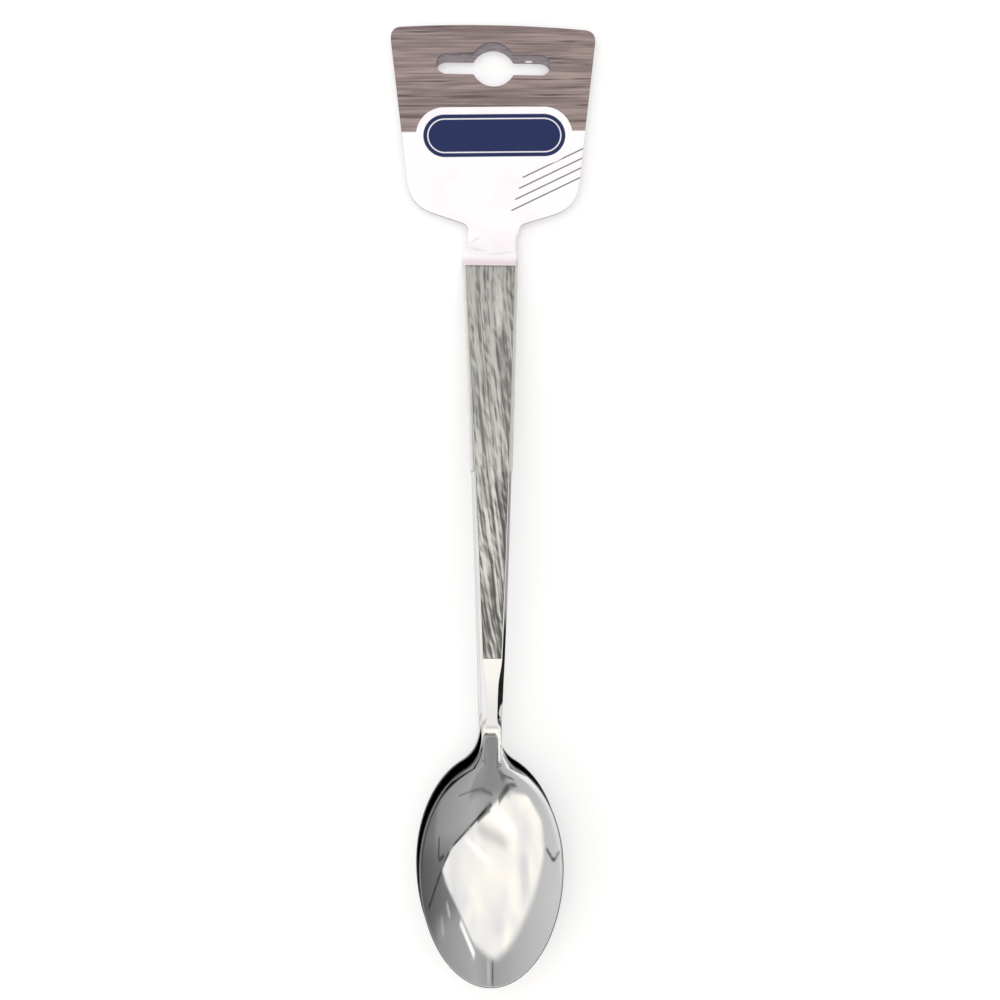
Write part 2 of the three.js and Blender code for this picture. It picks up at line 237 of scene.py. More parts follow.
class Value:
    """One shader socket, with Python's operators for its maths."""

    def __init__(self, bench: "Bench", socket: bpy.types.NodeSocket) -> None:
        """Keep the socket and the bench that its maths goes to."""
        self.bench = bench
        self.socket = socket

    def maths(self, operation: str, *operands: "Value | float") -> "Value":
        """Add one Math node.

        Args:
            operation: The node's operation.
            operands: What it works on, in order.

        Returns:
            Its result.
        """
        return self.bench.node("ShaderNodeMath", {"operation": operation}, dict(enumerate(operands)))

    def __add__(self, other: "Value | float") -> "Value":
        """Sum."""
        return self.maths("ADD", self, other)

    def __sub__(self, other: "Value | float") -> "Value":
        """Difference."""
        return self.maths("SUBTRACT", self, other)

    def __rsub__(self, other: float) -> "Value":
        """Difference from a number."""
        return self.maths("SUBTRACT", other, self)

    def __mul__(self, other: "Value | float") -> "Value":
        """Product."""
        return self.maths("MULTIPLY", self, other)

    def __truediv__(self, other: "Value | float") -> "Value":
        """Quotient."""
        return self.maths("DIVIDE", self, other)

    def __abs__(self) -> "Value":
        """Size without its sign."""
        return self.maths("ABSOLUTE", self)

    __radd__ = __add__
    __rmul__ = __mul__

    def largest(self, other: "Value | float") -> "Value":
        """Larger of two values."""
        return self.maths("MAXIMUM", self, other)

    def smallest(self, other: "Value | float") -> "Value":
        """Smaller of two values."""
        return self.maths("MINIMUM", self, other)

    def root(self) -> "Value":
        """Square root."""
        return self.maths("SQRT", self)

    def rise(self, low: float, high: float) -> "Value":
        """Rise smoothly from 0 at the low mark to 1 at the high mark."""
        sockets = {"Value": self, "From Min": low, "From Max": high}
        return self.bench.node("ShaderNodeMapRange", {"interpolation_type": "SMOOTHSTEP"}, sockets)


Operand = Value | float | Sequence[float]


class Bench:
    """The node tree of one finish, and what adds nodes to it."""

    def __init__(self, tree: bpy.types.NodeTree) -> None:
        """Start on an empty tree."""
        self.tree = tree
        tree.nodes.clear()

    def node(
        self,
        kind: str,
        settings: dict[str, object] | None = None,
        sockets: dict[str | int, Operand] | None = None,
        out: str | int = 0,
    ) -> Value:
        """Add a node.

        Args:
            kind: The node's type.
            settings: Its own settings, set first.
            sockets: Values or links for its inputs, by name or number.
            out: Which output is wanted.

        Returns:
            The wanted output.
        """
        made = self.tree.nodes.new(kind)
        for name, setting in (settings or {}).items():
            setattr(made, name, setting)
        for name, value in (sockets or {}).items():
            if isinstance(value, Value):
                self.tree.links.new(value.socket, made.inputs[name])
            else:
                made.inputs[name].default_value = value
        return Value(self, made.outputs[out])

    def split(self, vector: Value) -> tuple[Value, Value, Value]:
        """The three parts of a vector."""
        parts = self.node("ShaderNodeSeparateXYZ", None, {0: vector}).socket.node.outputs
        return tuple(Value(self, part) for part in parts)

    def place(self) -> Value:
        """The point on the piece, in millimetres of the pack's frame."""
        metres = self.node("ShaderNodeTexCoord", out="Object")
        return self.node("ShaderNodeVectorMath", {"operation": "SCALE"}, {0: metres, "Scale": PER_METRE})

    def stretch(self, vector: Value, factors: Sequence[float]) -> Value:
        """A vector with each part multiplied by its own factor."""
        return self.node("ShaderNodeVectorMath", {"operation": "MULTIPLY"}, {0: vector, 1: factors})

    def noise(self, vector: Value, scale: float, detail: float = 2.0, warp: float = 0.0) -> Value:
        """Noise from 0 to 1.

        Args:
            vector: Where it is looked up.
            scale: Waves for each unit of the vector.
            detail: How many finer layers it has.
            warp: How far it is distorted.

        Returns:
            The noise.
        """
        sockets = {"Vector": vector, "Scale": scale, "Detail": detail, "Distortion": warp}
        return self.node("ShaderNodeTexNoise", None, sockets)

    def blend(self, share: Operand, first: Operand, second: Operand) -> Value:
        """Mix two colours by a share."""
        return self.node("ShaderNodeMix", {"data_type": "RGBA"}, {0: share, 6: first, 7: second}, 2)

    def mark(self, name: str) -> Value:
        """A value that the mesh keeps on its points."""
        return self.node("ShaderNodeAttribute", {"attribute_name": name}, None, "Fac")

    def bump(self, height: Value, distance: float) -> Value:
        """A normal that follows a height, of which 1 measures the distance in millimetres."""
        sockets = {"Strength": 1.0, "Distance": distance * MM, "Height": height}
        return self.node("ShaderNodeBump", None, sockets)

    def principled(self, sockets: dict[str | int, Operand]) -> Value:
        """A surface shader with these inputs."""
        return self.node("ShaderNodeBsdfPrincipled", None, sockets)

    def output(self, kind: str, shader: Value) -> None:
        """Add an output node for a shader."""
        made = self.tree.nodes.new(kind)
        self.tree.links.new(shader.socket, made.inputs["Surface"])


def printed(value: Value, limit: float, soft: float) -> Value:
    """0 below a printed edge and 1 above it, over its soft width."""
    return value.rise(limit - soft, limit + soft)


@dataclass(frozen=True)
class Finish:
    """A finish that draws its own shader."""

    label: ClassVar[str]

    def shader(self, bench: Bench) -> Value:
        """The finish's shader, drawn on its bench."""
        raise NotImplementedError

    def material(self) -> bpy.types.Material:
        """Make the finish's material.

        Returns:
            The material.
        """
        material = bpy.data.materials.new(self.label)
        material.use_nodes = True
        bench = Bench(material.node_tree)
        bench.output("ShaderNodeOutputMaterial", self.shader(bench))
        return material


@dataclass(frozen=True)
class PolishedSteel(Finish):
    """Mirror-polished stainless steel with a rougher rim, painted dark along its edge as a reflection, and a
    coined wood grain on the handle's panel.
    """

    label = "polished_steel"
    bright: Colour = (0.67, 0.665, 0.655, 1.0)
    cloudy: Colour = (0.625, 0.62, 0.61, 1.0)
    rim_shade: Colour = (0.05, 0.05, 0.052, 1.0)  # painted dark reflection along the rim's edge
    groove: Colour = (0.11, 0.107, 0.102, 1.0)
    ridge: Colour = (0.6, 0.59, 0.567, 1.0)
    polish: float = 0.045
    smudge: float = 0.06
    scratch: float = 0.05
    rim_rough: float = 0.28
    grain_rough: float = 0.46
    ridge_gloss: float = 0.08  # how much smoother the ridges are
    tooth_tone: float = 0.45
    speck_tone: float = 0.22
    tone_range: Span = (0.05, 1.0)
    wave_depth: float = 0.012
    tooth_depth: float = 0.02
    cloud_scale: float = 0.11
    haze_scale: float = 0.35
    haze_warp: float = 0.6
    haze_range: Span = (0.45, 0.8)
    speck_scale: float = 7.0
    wave_scale: float = 0.09
    hair_stretch: Triple = (6.0, 0.35, 3.0)
    hair_range: Span = (0.58, 0.75)
    tooth_stretch: Triple = (9.0, 1.3, 4.0)

    def shader(self, bench: Bench) -> Value:
        """Draw the steel.

        Args:
            bench: Where its nodes go.

        Returns:
            Its shader.
        """
        place = bench.place()
        grain = bench.mark("grain")
        panel = bench.mark("panel")
        rim = bench.mark("rim")
        cloud = bench.noise(place, self.cloud_scale, 3)
        haze = bench.noise(place, self.haze_scale, 4, self.haze_warp).rise(*self.haze_range)
        hair = bench.noise(bench.stretch(place, self.hair_stretch), 1.0, 3).rise(*self.hair_range)
        tooth = bench.noise(bench.stretch(place, self.tooth_stretch), 1.0, 4)
        speck = bench.noise(place, self.speck_scale, 3)
        # the rim mark paints a dark reflection into the steel's colour
        metal = bench.blend(rim, bench.blend(cloud, self.bright, self.cloudy), self.rim_shade)
        overlay = (tooth - 0.5) * self.tooth_tone + (speck - 0.5) * self.speck_tone
        shade = (grain + overlay).rise(*self.tone_range)
        wood = bench.blend(shade, self.groove, self.ridge)
        dull = self.grain_rough - shade * self.ridge_gloss
        gloss = self.polish + haze * self.smudge + hair * self.scratch
        gloss = gloss + (self.rim_rough - gloss) * rim
        wave = bench.noise(place, self.wave_scale, 1) * self.wave_depth + tooth * panel * self.tooth_depth
        return bench.principled(
            {
                "Base Color": bench.blend(panel, metal, wood),
                "Metallic": 1.0,
                "Roughness": gloss + (dull - gloss) * panel,
                "Normal": bench.bump(wave, 1.0),
            }
        )


@dataclass(frozen=True)
class ClearFilm(Finish):
    """Clear shrunk film: hazy in its folded edges, with a painted highlight as extra haze in one long patch.
    """

    label = "clear_film"
    milk: Colour = srgb(250, 249, 243)
    dull_milk: Colour = srgb(240, 240, 233)
    haze: float = 0.05
    wisp_haze: float = 0.05
    wisp_range: Span = (0.5, 0.8)
    wisp_stretch: Triple = (1.6, 0.16, 1.6)
    wisp_warp: float = 0.4
    fold_haze: float = 0.7
    fold_range: Span = (0.75, 1.15)  # share of the fold's haze, by wisp
    # painted highlight: a fixed patch of extra milky haze that stands in for the lamp's reflection on the
    # film
    highlight_haze: float = 0.45
    streak_middle: Point = (1.3, 54.0)
    streak_half: Span = (1.5, 10.5)
    streak_soft: float = 0.7
    streak_wisps: Span = (0.2, 0.6)
    gloss: float = 0.12
    wisp_rough: float = 0.1
    bend: float = 1.35  # refractive index, for its gleam at low angles
    gleam: float = 0.6
    pucker_scale: float = 0.5
    pucker: float = 0.05

    def shader(self, bench: Bench) -> Value:
        """Draw the film.

        Args:
            bench: Where its nodes go.

        Returns:
            Its shader.
        """
        place = bench.place()
        x, y, _ = bench.split(place)
        fold = bench.mark("fold")
        wisps = bench.noise(bench.stretch(place, self.wisp_stretch), 1.0, 3, self.wisp_warp)
        off_x = (x - self.streak_middle[0]) / self.streak_half[0]
        off_y = (y - self.streak_middle[1]) / self.streak_half[1]
        # painted highlight patch, broken up by the wisps
        highlight_patch = (1 - (off_x * off_x + off_y * off_y).root()).rise(0.0, self.streak_soft)
        overlay = highlight_patch * self.highlight_haze * wisps.rise(*self.streak_wisps)
        cloud = self.haze + wisps.rise(*self.wisp_range) * self.wisp_haze + overlay
        low, high = self.fold_range
        cover = cloud + fold.root() * self.fold_haze * (low + wisps * (high - low))
        rim = bench.node("ShaderNodeFresnel", None, {"IOR": self.bend})
        body = bench.principled(
            {
                "Base Color": bench.blend(wisps, self.milk, self.dull_milk),
                "Roughness": self.gloss + wisps * self.wisp_rough,
                "Normal": bench.bump(bench.noise(place, self.pucker_scale, 2), self.pucker),
            }
        )
        clear = bench.node("ShaderNodeBsdfTransparent")
        share = (cover + rim * self.gleam).smallest(1.0)
        return bench.node("ShaderNodeMixShader", None, {0: share, 1: clear, 2: body})


@dataclass(frozen=True)
class WhiteFilm(Finish):
    """Film printed white, faintly pink, with painted lilac shade where it leaves the handles and painted
    grey shade in its creases.
    """

    label = "white_film"
    white: Colour = srgb(250, 247, 249)
    pink: Colour = srgb(249, 242, 245)
    # painted shade where the film dips over the handles' end
    lilac: Colour = srgb(222, 208, 213)
    # painted shade in the collar's creases
    crease_shade_grey: Colour = srgb(206, 200, 202)
    pink_range: Span = (0.35, 0.7)
    cloud_scale: float = 0.22
    cloud_warp: float = 0.5
    shade_range: Span = (68.4, 70.6)  # along the pack
    shade_wander: float = 1.6
    shade_depth: float = 0.85
    gloss: float = 0.3
    cloud_rough: float = 0.2
    pucker_scale: float = 0.8
    pucker: float = 0.06

    def shader(self, bench: Bench) -> Value:
        """Draw the white film.

        Args:
            bench: Where its nodes go.

        Returns:
            Its shader.
        """
        place = bench.place()
        _, y, _ = bench.split(place)
        cloud = bench.noise(place, self.cloud_scale, 3, self.cloud_warp)
        # painted lilac shade near the handles' end
        near_handle = 1 - (y + cloud * self.shade_wander).rise(*self.shade_range)
        base = bench.blend(cloud.rise(*self.pink_range), self.white, self.pink)
        shaded = bench.blend(near_handle * self.shade_depth, base, self.lilac)
        return bench.principled(
            {
                # the crease mark paints grey shade into the creases
                "Base Color": bench.blend(bench.mark("crease"), shaded, self.crease_shade_grey),
                "Roughness": self.gloss + cloud * self.cloud_rough,
                "Normal": bench.bump(bench.noise(place, self.pucker_scale, 3), self.pucker),
            }
        )


@dataclass(frozen=True)
class PlyFinish(Finish):
    """What both header plies share: a sheet with a soft pucker and an uneven gloss."""

    gloss: float = 0.32
    cloud_scale: float = 0.09
    cloud_rough: float = 0.15
    pucker_scale: float = 0.6
    pucker: float = 0.03

    def sheet(self, place: Value, colour: Value, cloud: Value, more: dict[str | int, Operand]) -> Value:
        """Draw the sheet.

        Args:
            place: The point in millimetres.
            colour: The sheet's colour.
            cloud: What makes its gloss uneven.
            more: Other inputs of its shader.

        Returns:
            Its shader.
        """
        bench = place.bench
        return bench.principled(
            {
                "Base Color": colour,
                "Roughness": self.gloss + cloud * self.cloud_rough,
                "Normal": bench.bump(bench.noise(place, self.pucker_scale, 3), self.pucker),
                **more,
            }
        )


@dataclass(frozen=True)
class PrintedPly(PlyFinish):
    """Header film with a weathered wood print above, a white field below and a plain navy bar; its cut edges
    and underside are painted grey as shade.
    """

    label = "printed_ply"
    white: Colour = srgb(250, 248, 250)
    pink: Colour = srgb(248, 242, 246)
    wood_light: Colour = srgb(164, 147, 143)
    wood_mid: Colour = srgb(122, 107, 106)
    wood_dark: Colour = srgb(74, 62, 65)
    navy: Colour = srgb(26, 39, 86)
    ink: Colour = srgb(92, 90, 100)
    # painted shade on the ply's cut edges and underside
    edge: Colour = srgb(196, 190, 194)
    print_turn: float = 1.4  # degrees that the print is turned on its ply
    wood_soft: float = 0.15  # half the width of a printed edge
    bar_soft: float = 0.12
    rule_soft: float = 0.1
    pink_range: Span = (0.4, 0.7)
    face_range: Span = (0.8, 1.0)
    wood_line: float = 106.2
    band_stretch: Triple = (0.03, 0.36, 1.0)
    band_warp: float = 0.6
    line_stretch: Triple = (0.045, 1.9, 1.0)
    line_warp: float = 0.3
    crack_stretch: Triple = (0.035, 0.7, 1.0)
    crack_scale: float = 1.3
    crack_warp: float = 0.2
    tone_range: Span = (0.36, 0.64)
    crack_range: Span = (0.53, 0.68)
    crack_lines: Span = (0.35, 0.6)
    crack_depth: float = 0.85
    bar_middle: Point = (0.3, 105.0)
    bar_half_length: float = 20.6
    bar_radius: float = 6.2
    bar_border: float = 2.1
    rule_inset: Span = (1.15, 1.5)
    rule_cover: float = 0.9
    stripe_count: int = 4
    stripe_foot: Point = (4.5, 83.0)
    stripe_step: float = 2.4  # across the stripes and along them
    stripe_angle: float = 25.0
    stripe_half_width: float = 0.2
    stripe_soft: float = 0.08
    stripe_end: float = 0.4
    stripe_clear: Span = (0.6, 0.9)  # space left under the wood
    bar_clear: float = 0.3
    stripe_cover: float = 0.9
    sheen: float = 0.2

    def wood(self, bench: Bench, place: Value) -> Value:
        """Colour of the wood print, its grain along X.

        Args:
            bench: Where its nodes go.
            place: The point in millimetres.

        Returns:
            The colour.
        """
        bands = bench.noise(bench.stretch(place, self.band_stretch), 1.0, 3, self.band_warp)
        lines = bench.noise(bench.stretch(place, self.line_stretch), 1.0, 3, self.line_warp)
        cracks = bench.noise(bench.stretch(place, self.crack_stretch), self.crack_scale, 4, self.crack_warp)
        tone = (bands * 0.5 + lines * 0.5).rise(*self.tone_range)
        pale = bench.blend(tone, self.wood_light, self.wood_mid)
        dark = cracks.rise(*self.crack_range) * lines.rise(*self.crack_lines)
        return bench.blend(dark * self.crack_depth, pale, self.wood_dark)

    def stripes(self, x: Value, y: Value) -> Value:
        """Where the slanted pinstripes are printed.

        Args:
            x: Place across, in millimetres.
            y: Place along, in millimetres.

        Returns:
            1 on a stripe, 0 elsewhere.
        """
        turn = math.radians(self.stripe_angle)
        off_x = x - self.stripe_foot[0]
        off_y = y - self.stripe_foot[1]
        along = off_x * math.cos(turn) + off_y * math.sin(turn)
        across = off_y * math.cos(turn) - off_x * math.sin(turn)
        drawn = None
        for i in range(self.stripe_count):
            start = i * self.stripe_step
            line = 1 - printed(abs(across - start), self.stripe_half_width, self.stripe_soft)
            line = line * along.rise(start, start + self.stripe_end)
            drawn = line if drawn is None else drawn.largest(line)
        return drawn

    def shader(self, bench: Bench) -> Value:
        """Draw the printed ply.

        Args:
            bench: Where its nodes go.

        Returns:
            Its shader.
        """
        turn = -math.radians(self.print_turn)
        sockets = {"Vector": bench.place(), "Center": (*self.bar_middle, 0.0), "Angle": turn}
        place = bench.node("ShaderNodeVectorRotate", {"rotation_type": "Z_AXIS"}, sockets)
        x, y, _ = bench.split(place)
        up = bench.mark("face_up").rise(*self.face_range)
        cloud = bench.noise(place, self.cloud_scale, 3)
        field_colour = bench.blend(cloud.rise(*self.pink_range), self.white, self.pink)
        reach = (abs(x - self.bar_middle[0]) - (self.bar_half_length - self.bar_radius)).largest(0.0)
        rise = y - self.bar_middle[1]
        bar = (reach * reach + rise * rise).root() - self.bar_radius
        inset = -1 * bar
        wooded = printed(y, self.wood_line, self.wood_soft) * printed(bar, self.bar_border, self.bar_soft)
        start, end = (printed(inset, edge, self.rule_soft) for edge in self.rule_inset)
        rule = start * (1 - end)
        near, far = self.stripe_clear
        inked = self.stripes(x, y) * (1 - y.rise(self.wood_line - far, self.wood_line - near))
        inked = inked * bar.rise(self.bar_border, self.bar_border + self.bar_clear)
        colour = bench.blend(inked * self.stripe_cover, field_colour, self.ink)
        colour = bench.blend(wooded, colour, self.wood(bench, place))
        colour = bench.blend(1 - printed(bar, 0.0, self.bar_soft), colour, self.navy)
        colour = bench.blend(rule * self.rule_cover, colour, self.white)
        # faces that don't face up get the painted shade grey
        colour = bench.blend(up, self.edge, colour)
        return self.sheet(place, colour, cloud, {"Specular IOR Level": self.sheen})


@dataclass(frozen=True)
class PlainPly(PlyFinish):
    """Rear header film: grey-lilac inside, partly its own colour and partly painted shade between the plies,
    plain pale film outside.
    """

    label = "plain_ply"
    gloss: float = 0.38
    cloud_scale: float = 0.12
    # its own grey-lilac, darkened by painted shade between the plies
    inner: Colour = srgb(134, 125, 132)
    inner_dark: Colour = srgb(114, 106, 113)
    outer: Colour = srgb(238, 235, 237)
    outer_dull: Colour = srgb(228, 224, 228)
    tone_range: Span = (0.35, 0.7)
    face_range: Span = (0.05, 0.2)
    fleck_stretch: Triple = (0.4, 1.6, 1.0)

    def shader(self, bench: Bench) -> Value:
        """Draw the plain ply.

        Args:
            bench: Where its nodes go.

        Returns:
            Its shader.
        """
        place = bench.place()
        up = bench.mark("face_up").rise(*self.face_range)
        cloud = bench.noise(place, self.cloud_scale, 3)
        fleck = bench.noise(bench.stretch(place, self.fleck_stretch), 1.0, 4)
        # inside face: own colour plus painted shade between the plies
        inside = bench.blend(fleck.rise(*self.tone_range), self.inner, self.inner_dark)
        outside = bench.blend(cloud.rise(*self.tone_range), self.outer, self.outer_dull)
        return self.sheet(place, bench.blend(up, outside, inside), cloud, {})


@dataclass(frozen=True)
class PaleFloor(Finish):
    """The plain white surface that the pack lies on."""

    label = "pale_floor"
    tone: Colour = (0.64, 0.64, 0.64, 1.0)
    second_tone: Colour = (0.63, 0.63, 0.63, 1.0)
    cloud_scale: float = 0.01
    lift: float = 0.39

    def shader(self, bench: Bench) -> Value:
        """Draw the floor's finish.

        Args:
            bench: Where its nodes go.

        Returns:
            Its shader.
        """
        cloud = bench.noise(bench.place(), self.cloud_scale, 2)
        path = bench.node("ShaderNodeLightPath").socket.node.outputs
        seen = Value(bench, path["Is Camera Ray"])
        for ray in ("Is Glossy Ray", "Is Transmission Ray"):
            seen = seen.largest(Value(bench, path[ray]))
        tone = bench.blend(cloud, self.tone, self.second_tone)
        matte = bench.node("ShaderNodeBsdfDiffuse", None, {0: tone})
        glow = bench.node("ShaderNodeEmission", None, {"Strength": seen * self.lift})
        return bench.node("ShaderNodeAddShader", None, {0: matte, 1: glow})


class Nest(Enum):
    """Which of the two nested spoons it is: its solid, and how it is turned in the pack, in degrees."""

    FRONT = ("tablespoon_front", -0.008, 0.0)
    REAR = ("tablespoon_rear", 0.0, -0.25)

    @property
    def node(self) -> str:
        """Name of the solid that the spoon stands for."""
        return self.value[0]

    @property
    def turn(self) -> Array:
        """Rotation of the spoon about its handle's end."""
        _, tilt, twist = self.value
        return np.array(Euler((math.radians(tilt), 0, math.radians(twist))).to_matrix())


@dataclass(frozen=True)
class Mottle:
    """Long soft cells in the wood grain, staggered from column to column."""

    width: float
    length: float
    height: float
    seed: int

    def relief(self, across: Array, y: Array) -> Array:
        """Height that the cells add."""
        column = across / self.width
        return self.height * (noise(column, y / self.length + STAGGER * column, self.seed) - 0.5)


@dataclass(frozen=True)
class Strands:
    """One set of thin lines in the wood grain, each of which fades in and out along its length."""

    pitch: float
    half_width: float
    run: float  # length over which a line fades
    height: float
    seed: int
    wander: float = 0.9
    wander_cell: Span = (3.0, 2.0)  # in pitches across and in runs along
    shown: Span = (0.35, 0.8)

    def relief(self, across: Array, y: Array) -> Array:
        """Height that the lines add.

        Args:
            across: Place across the grain, in millimetres.
            y: Place along the spoon, in millimetres.

        Returns:
            The height, below 0 for grooves.
        """
        wide, long = self.wander_cell
        drift = noise(across / (wide * self.pitch), y / (long * self.run), self.seed)
        place = across / self.pitch + self.wander * drift
        line = np.floor(place)
        off = (place - line - 0.5) * self.pitch / self.half_width
        shown = ease(noise(line, y / self.run + STAGGER * line, self.seed + 1), *self.shown)
        return self.height * shown * np.exp(-(off**2))


@dataclass
class Tablespoon:
    """One stamped spoon, drawn with its bowl's tip at y = 0 and its rim at z = 0."""

    name: str
    nest: Nest
    row_step: float  # spacing of the panel's rows
    face_columns: int
    length: float = 205.0
    bowl_half: float = 20.3
    tip_reach: float = 33.0
    shoulder_reach: float = 30.0
    shoulder_turn: float = 68.0
    fillet_length: float = 9.2
    fillet_pull: float = 3.4
    neck_half: float = 2.8
    end_half: float = 7.65
    end_corner: float = 1.6
    bowl_depth: float = 8.0
    bowl_wall: float = 1.2
    neck_thick: float = 2.6
    end_thick: float = 1.9
    tip_lift: float = 0.3
    tip_lift_run: float = 11.0
    arch_pull: float = 13.5
    arch_start_pull: float = 22.0
    arch_end_pull: float = 95.0
    end_drop: float = 6.75
    section_power: float = 2.2
    throat_power: float = 5.5
    runout_power: float = 1.65
    throat_run: float = 3.0  # length of neck that the bowl's hollow runs into
    rim_round: float = 0.45
    rim_shade_width: float = 0.38  # width of the rim's painted dark reflection, seen from above
    handle_rim_shade: float = 0.15  # share of that painted dark reflection that is left on the handle
    back_round: float = 0.4
    bevel: float = 0.85
    end_bevel: float = 0.45
    neck_bevel: float = 1.6
    neck_bevel_run: float = 6.5  # length of neck over which the bevel grows
    bevel_taper: float = 8.0  # length over which the neck's bevel narrows to the panel
    bevel_slope: float = 0.86
    bevel_curl: float = 0.16  # how fast the bevel steepens outwards, low on the neck
    curl_run: float = 12.0  # length of neck over which it does
    bevel_limit: float = 0.5  # most of the half width that the bevel takes
    panel_length: float = 113.0
    panel_margin: float = 1.0
    end_margin: float = 0.6
    panel_depth: float = 0.2
    panel_draft: float = 0.15
    grain_relief: float = 0.08
    grain_lean: Span = (10.0, 1.5)  # degrees at the panel's foot and at its top
    grain_sway: float = 0.8
    sway_cell: Span = (5.0, 13.0)
    sway_seed: int = 3
    grain_layers: tuple[Strands | Mottle, ...] = (
        Strands(2.0, 0.32, 13.0, -0.42, seed=5),
        Strands(1.1, 0.2, 8.0, -0.32, seed=17),
        Strands(0.75, 0.16, 6.0, -0.3, seed=31),
        Strands(2.3, 0.36, 15.0, 0.42, seed=23),
        Mottle(0.7, 1.8, 0.5, seed=11),
        Mottle(0.4, 9.0, 0.3, seed=7),
        Mottle(2.2, 16.0, 0.25, seed=13),
    )
    dark_side: float = 0.2  # depth of the painted shade along the panel's right side, drawn into the grain
    side_shade_range: Span = (0.35, 0.75)
    grain_bite: Span = (0.92, 1.3)  # its strength at the foot and at the top
    grain_level: Span = (0.49, 0.8)  # its mean height there
    tip_rows: int = 72
    shoulder_rows: int = 54
    fillet_rows: int = 26
    neck_rows: int = 42
    wall_rows: int = 3  # up the sloping wall at the panel's foot
    corner_rows: int = 14
    curve_steps: int = 400
    line_steps: int = 200
    back_columns: int = 30
    edge_share: float = 0.6  # most of the half width that the crowded columns take
    tip_flat: float = 1.2  # degrees left flat at the bowl's tip
    edge_marks: tuple[float, ...] = (0, 0.06, 0.14, 0.26, 0.42, 0.6, 0.74, 0.82, 0.9, 1.0, 1.07, 1.15)
    shift: Array = field(init=False, default_factory=lambda: np.zeros(3))

    def __post_init__(self) -> None:
        """Work out the places along the spoon."""
        self.oval_end = self.tip_reach + self.shoulder_reach * math.sin(math.radians(self.shoulder_turn))
        self.neck_start = self.oval_end + self.fillet_length
        self.corner_start = self.length - self.end_corner
        self.panel_start = self.length - self.panel_length

    def stations(self) -> tuple[Array, Array]:
        """Lay out the rows.

        Returns:
            Places along the spoon, and half its width at each.
        """
        half = self.bowl_half
        turn = math.radians(self.shoulder_turn)
        tip = np.radians(np.linspace(self.tip_flat, 90, self.tip_rows))
        shoulder = np.linspace(0, turn, self.shoulder_rows)[1:]
        leave = (half * math.cos(turn), self.oval_end)
        along = np.array([-half * math.sin(turn), self.shoulder_reach * math.cos(turn)])
        along *= self.fillet_pull / np.hypot(*along)
        neck = (self.neck_half, self.neck_start)
        inward = (self.neck_half, self.neck_start - self.fillet_length / 2)
        shares = np.linspace(0, 1, self.fillet_rows)[1:]
        fillet = bezier([leave, tuple(leave + along), inward, neck], shares)
        steps = np.arange(1 - self.wall_rows, 2 * self.wall_rows)
        wall = steps * self.panel_draft / self.wall_rows + self.panel_start
        bare = np.linspace(self.neck_start, wall[0], self.neck_rows)[1:-1]
        count = math.ceil((self.corner_start - wall[-1]) / self.row_step)
        panel = np.linspace(wall[-1], self.corner_start, count + 1)[1:]
        straight = np.concatenate([bare, wall, panel])
        corner = np.radians(np.linspace(0, 90, self.corner_rows)[1:])
        y = np.concatenate(
            [
                self.tip_reach * (1 - np.cos(tip)),
                self.tip_reach + self.shoulder_reach * np.sin(shoulder),
                fillet[:, 1],
                straight,
                self.corner_start + self.end_corner * np.sin(corner),
            ]
        )
        width = np.concatenate(
            [
                half * np.sin(tip),
                half * np.cos(shoulder),
                fillet[:, 0],
                self.handle_half(straight),
                self.end_half - self.end_corner * (1 - np.cos(corner)),
            ]
        )
        return y, width

    def handle_half(self, y: Array) -> Array:
        """Half the handle's width at places along it."""
        share = (np.minimum(y, self.corner_start) - self.neck_start) / (self.corner_start - self.neck_start)
        return mix(self.neck_half, self.end_half, share)

    def edge_height(self, y: Array) -> Array:
        """Height of the spoon's edge over its rim, along the bowl and up the handle's arch."""
        shares = np.linspace(0, 1, self.curve_steps)
        tip = (0, self.tip_lift)
        rim = bezier([tip, (self.tip_lift_run, 0), (self.tip_reach, 0), (self.oval_end, 0)], shares)
        crest = (self.length - self.arch_end_pull, self.arch_pull)
        start = (self.oval_end + self.arch_start_pull, 0)
        arch = bezier([(self.oval_end, 0), start, crest, (self.length, -self.end_drop)], shares)
        side = np.concatenate([rim, arch[1:]])
        return np.interp(y, side[:, 0], side[:, 1])

    def sink(self, y: Array) -> Array:
        """How far the spoon's middle lies below its edge."""
        to_tip = 1 - (1 - y / self.tip_reach) ** 2
        share = np.clip((y - self.tip_reach) / (self.neck_start + self.throat_run - self.tip_reach), 0, 1)
        return self.bowl_depth * np.where(y < self.tip_reach, to_tip, (1 - share**2) ** self.runout_power)

    def thickness(self, y: Array) -> Array:
        """Metal thickness: thin in the bowl, thickest at the neck."""
        bowl = mix(self.bowl_wall, self.neck_thick, ease(y, self.tip_reach, self.neck_start))
        share = np.clip((y - self.neck_start) / (self.length - self.neck_start), 0, 1)
        return np.where(y < self.neck_start, bowl, mix(self.neck_thick, self.end_thick, share))

    def columns(self, half: Array, inner: int) -> Array:
        """Places across each row, crowded at its edges.

        Args:
            half: Half width of each row.
            inner: How many columns lie between the crowded ones.

        Returns:
            One row of places for each half width.
        """
        marks = np.array(self.edge_marks)
        scale = np.minimum(1, self.edge_share * half / marks[-1])[:, None]
        rim = half[:, None] - marks * scale
        middle = np.linspace(-1, 1, inner + 2)[1:-1] * rim[:, -1:]
        return np.concatenate([-rim, middle, rim[:, ::-1]], axis=1)

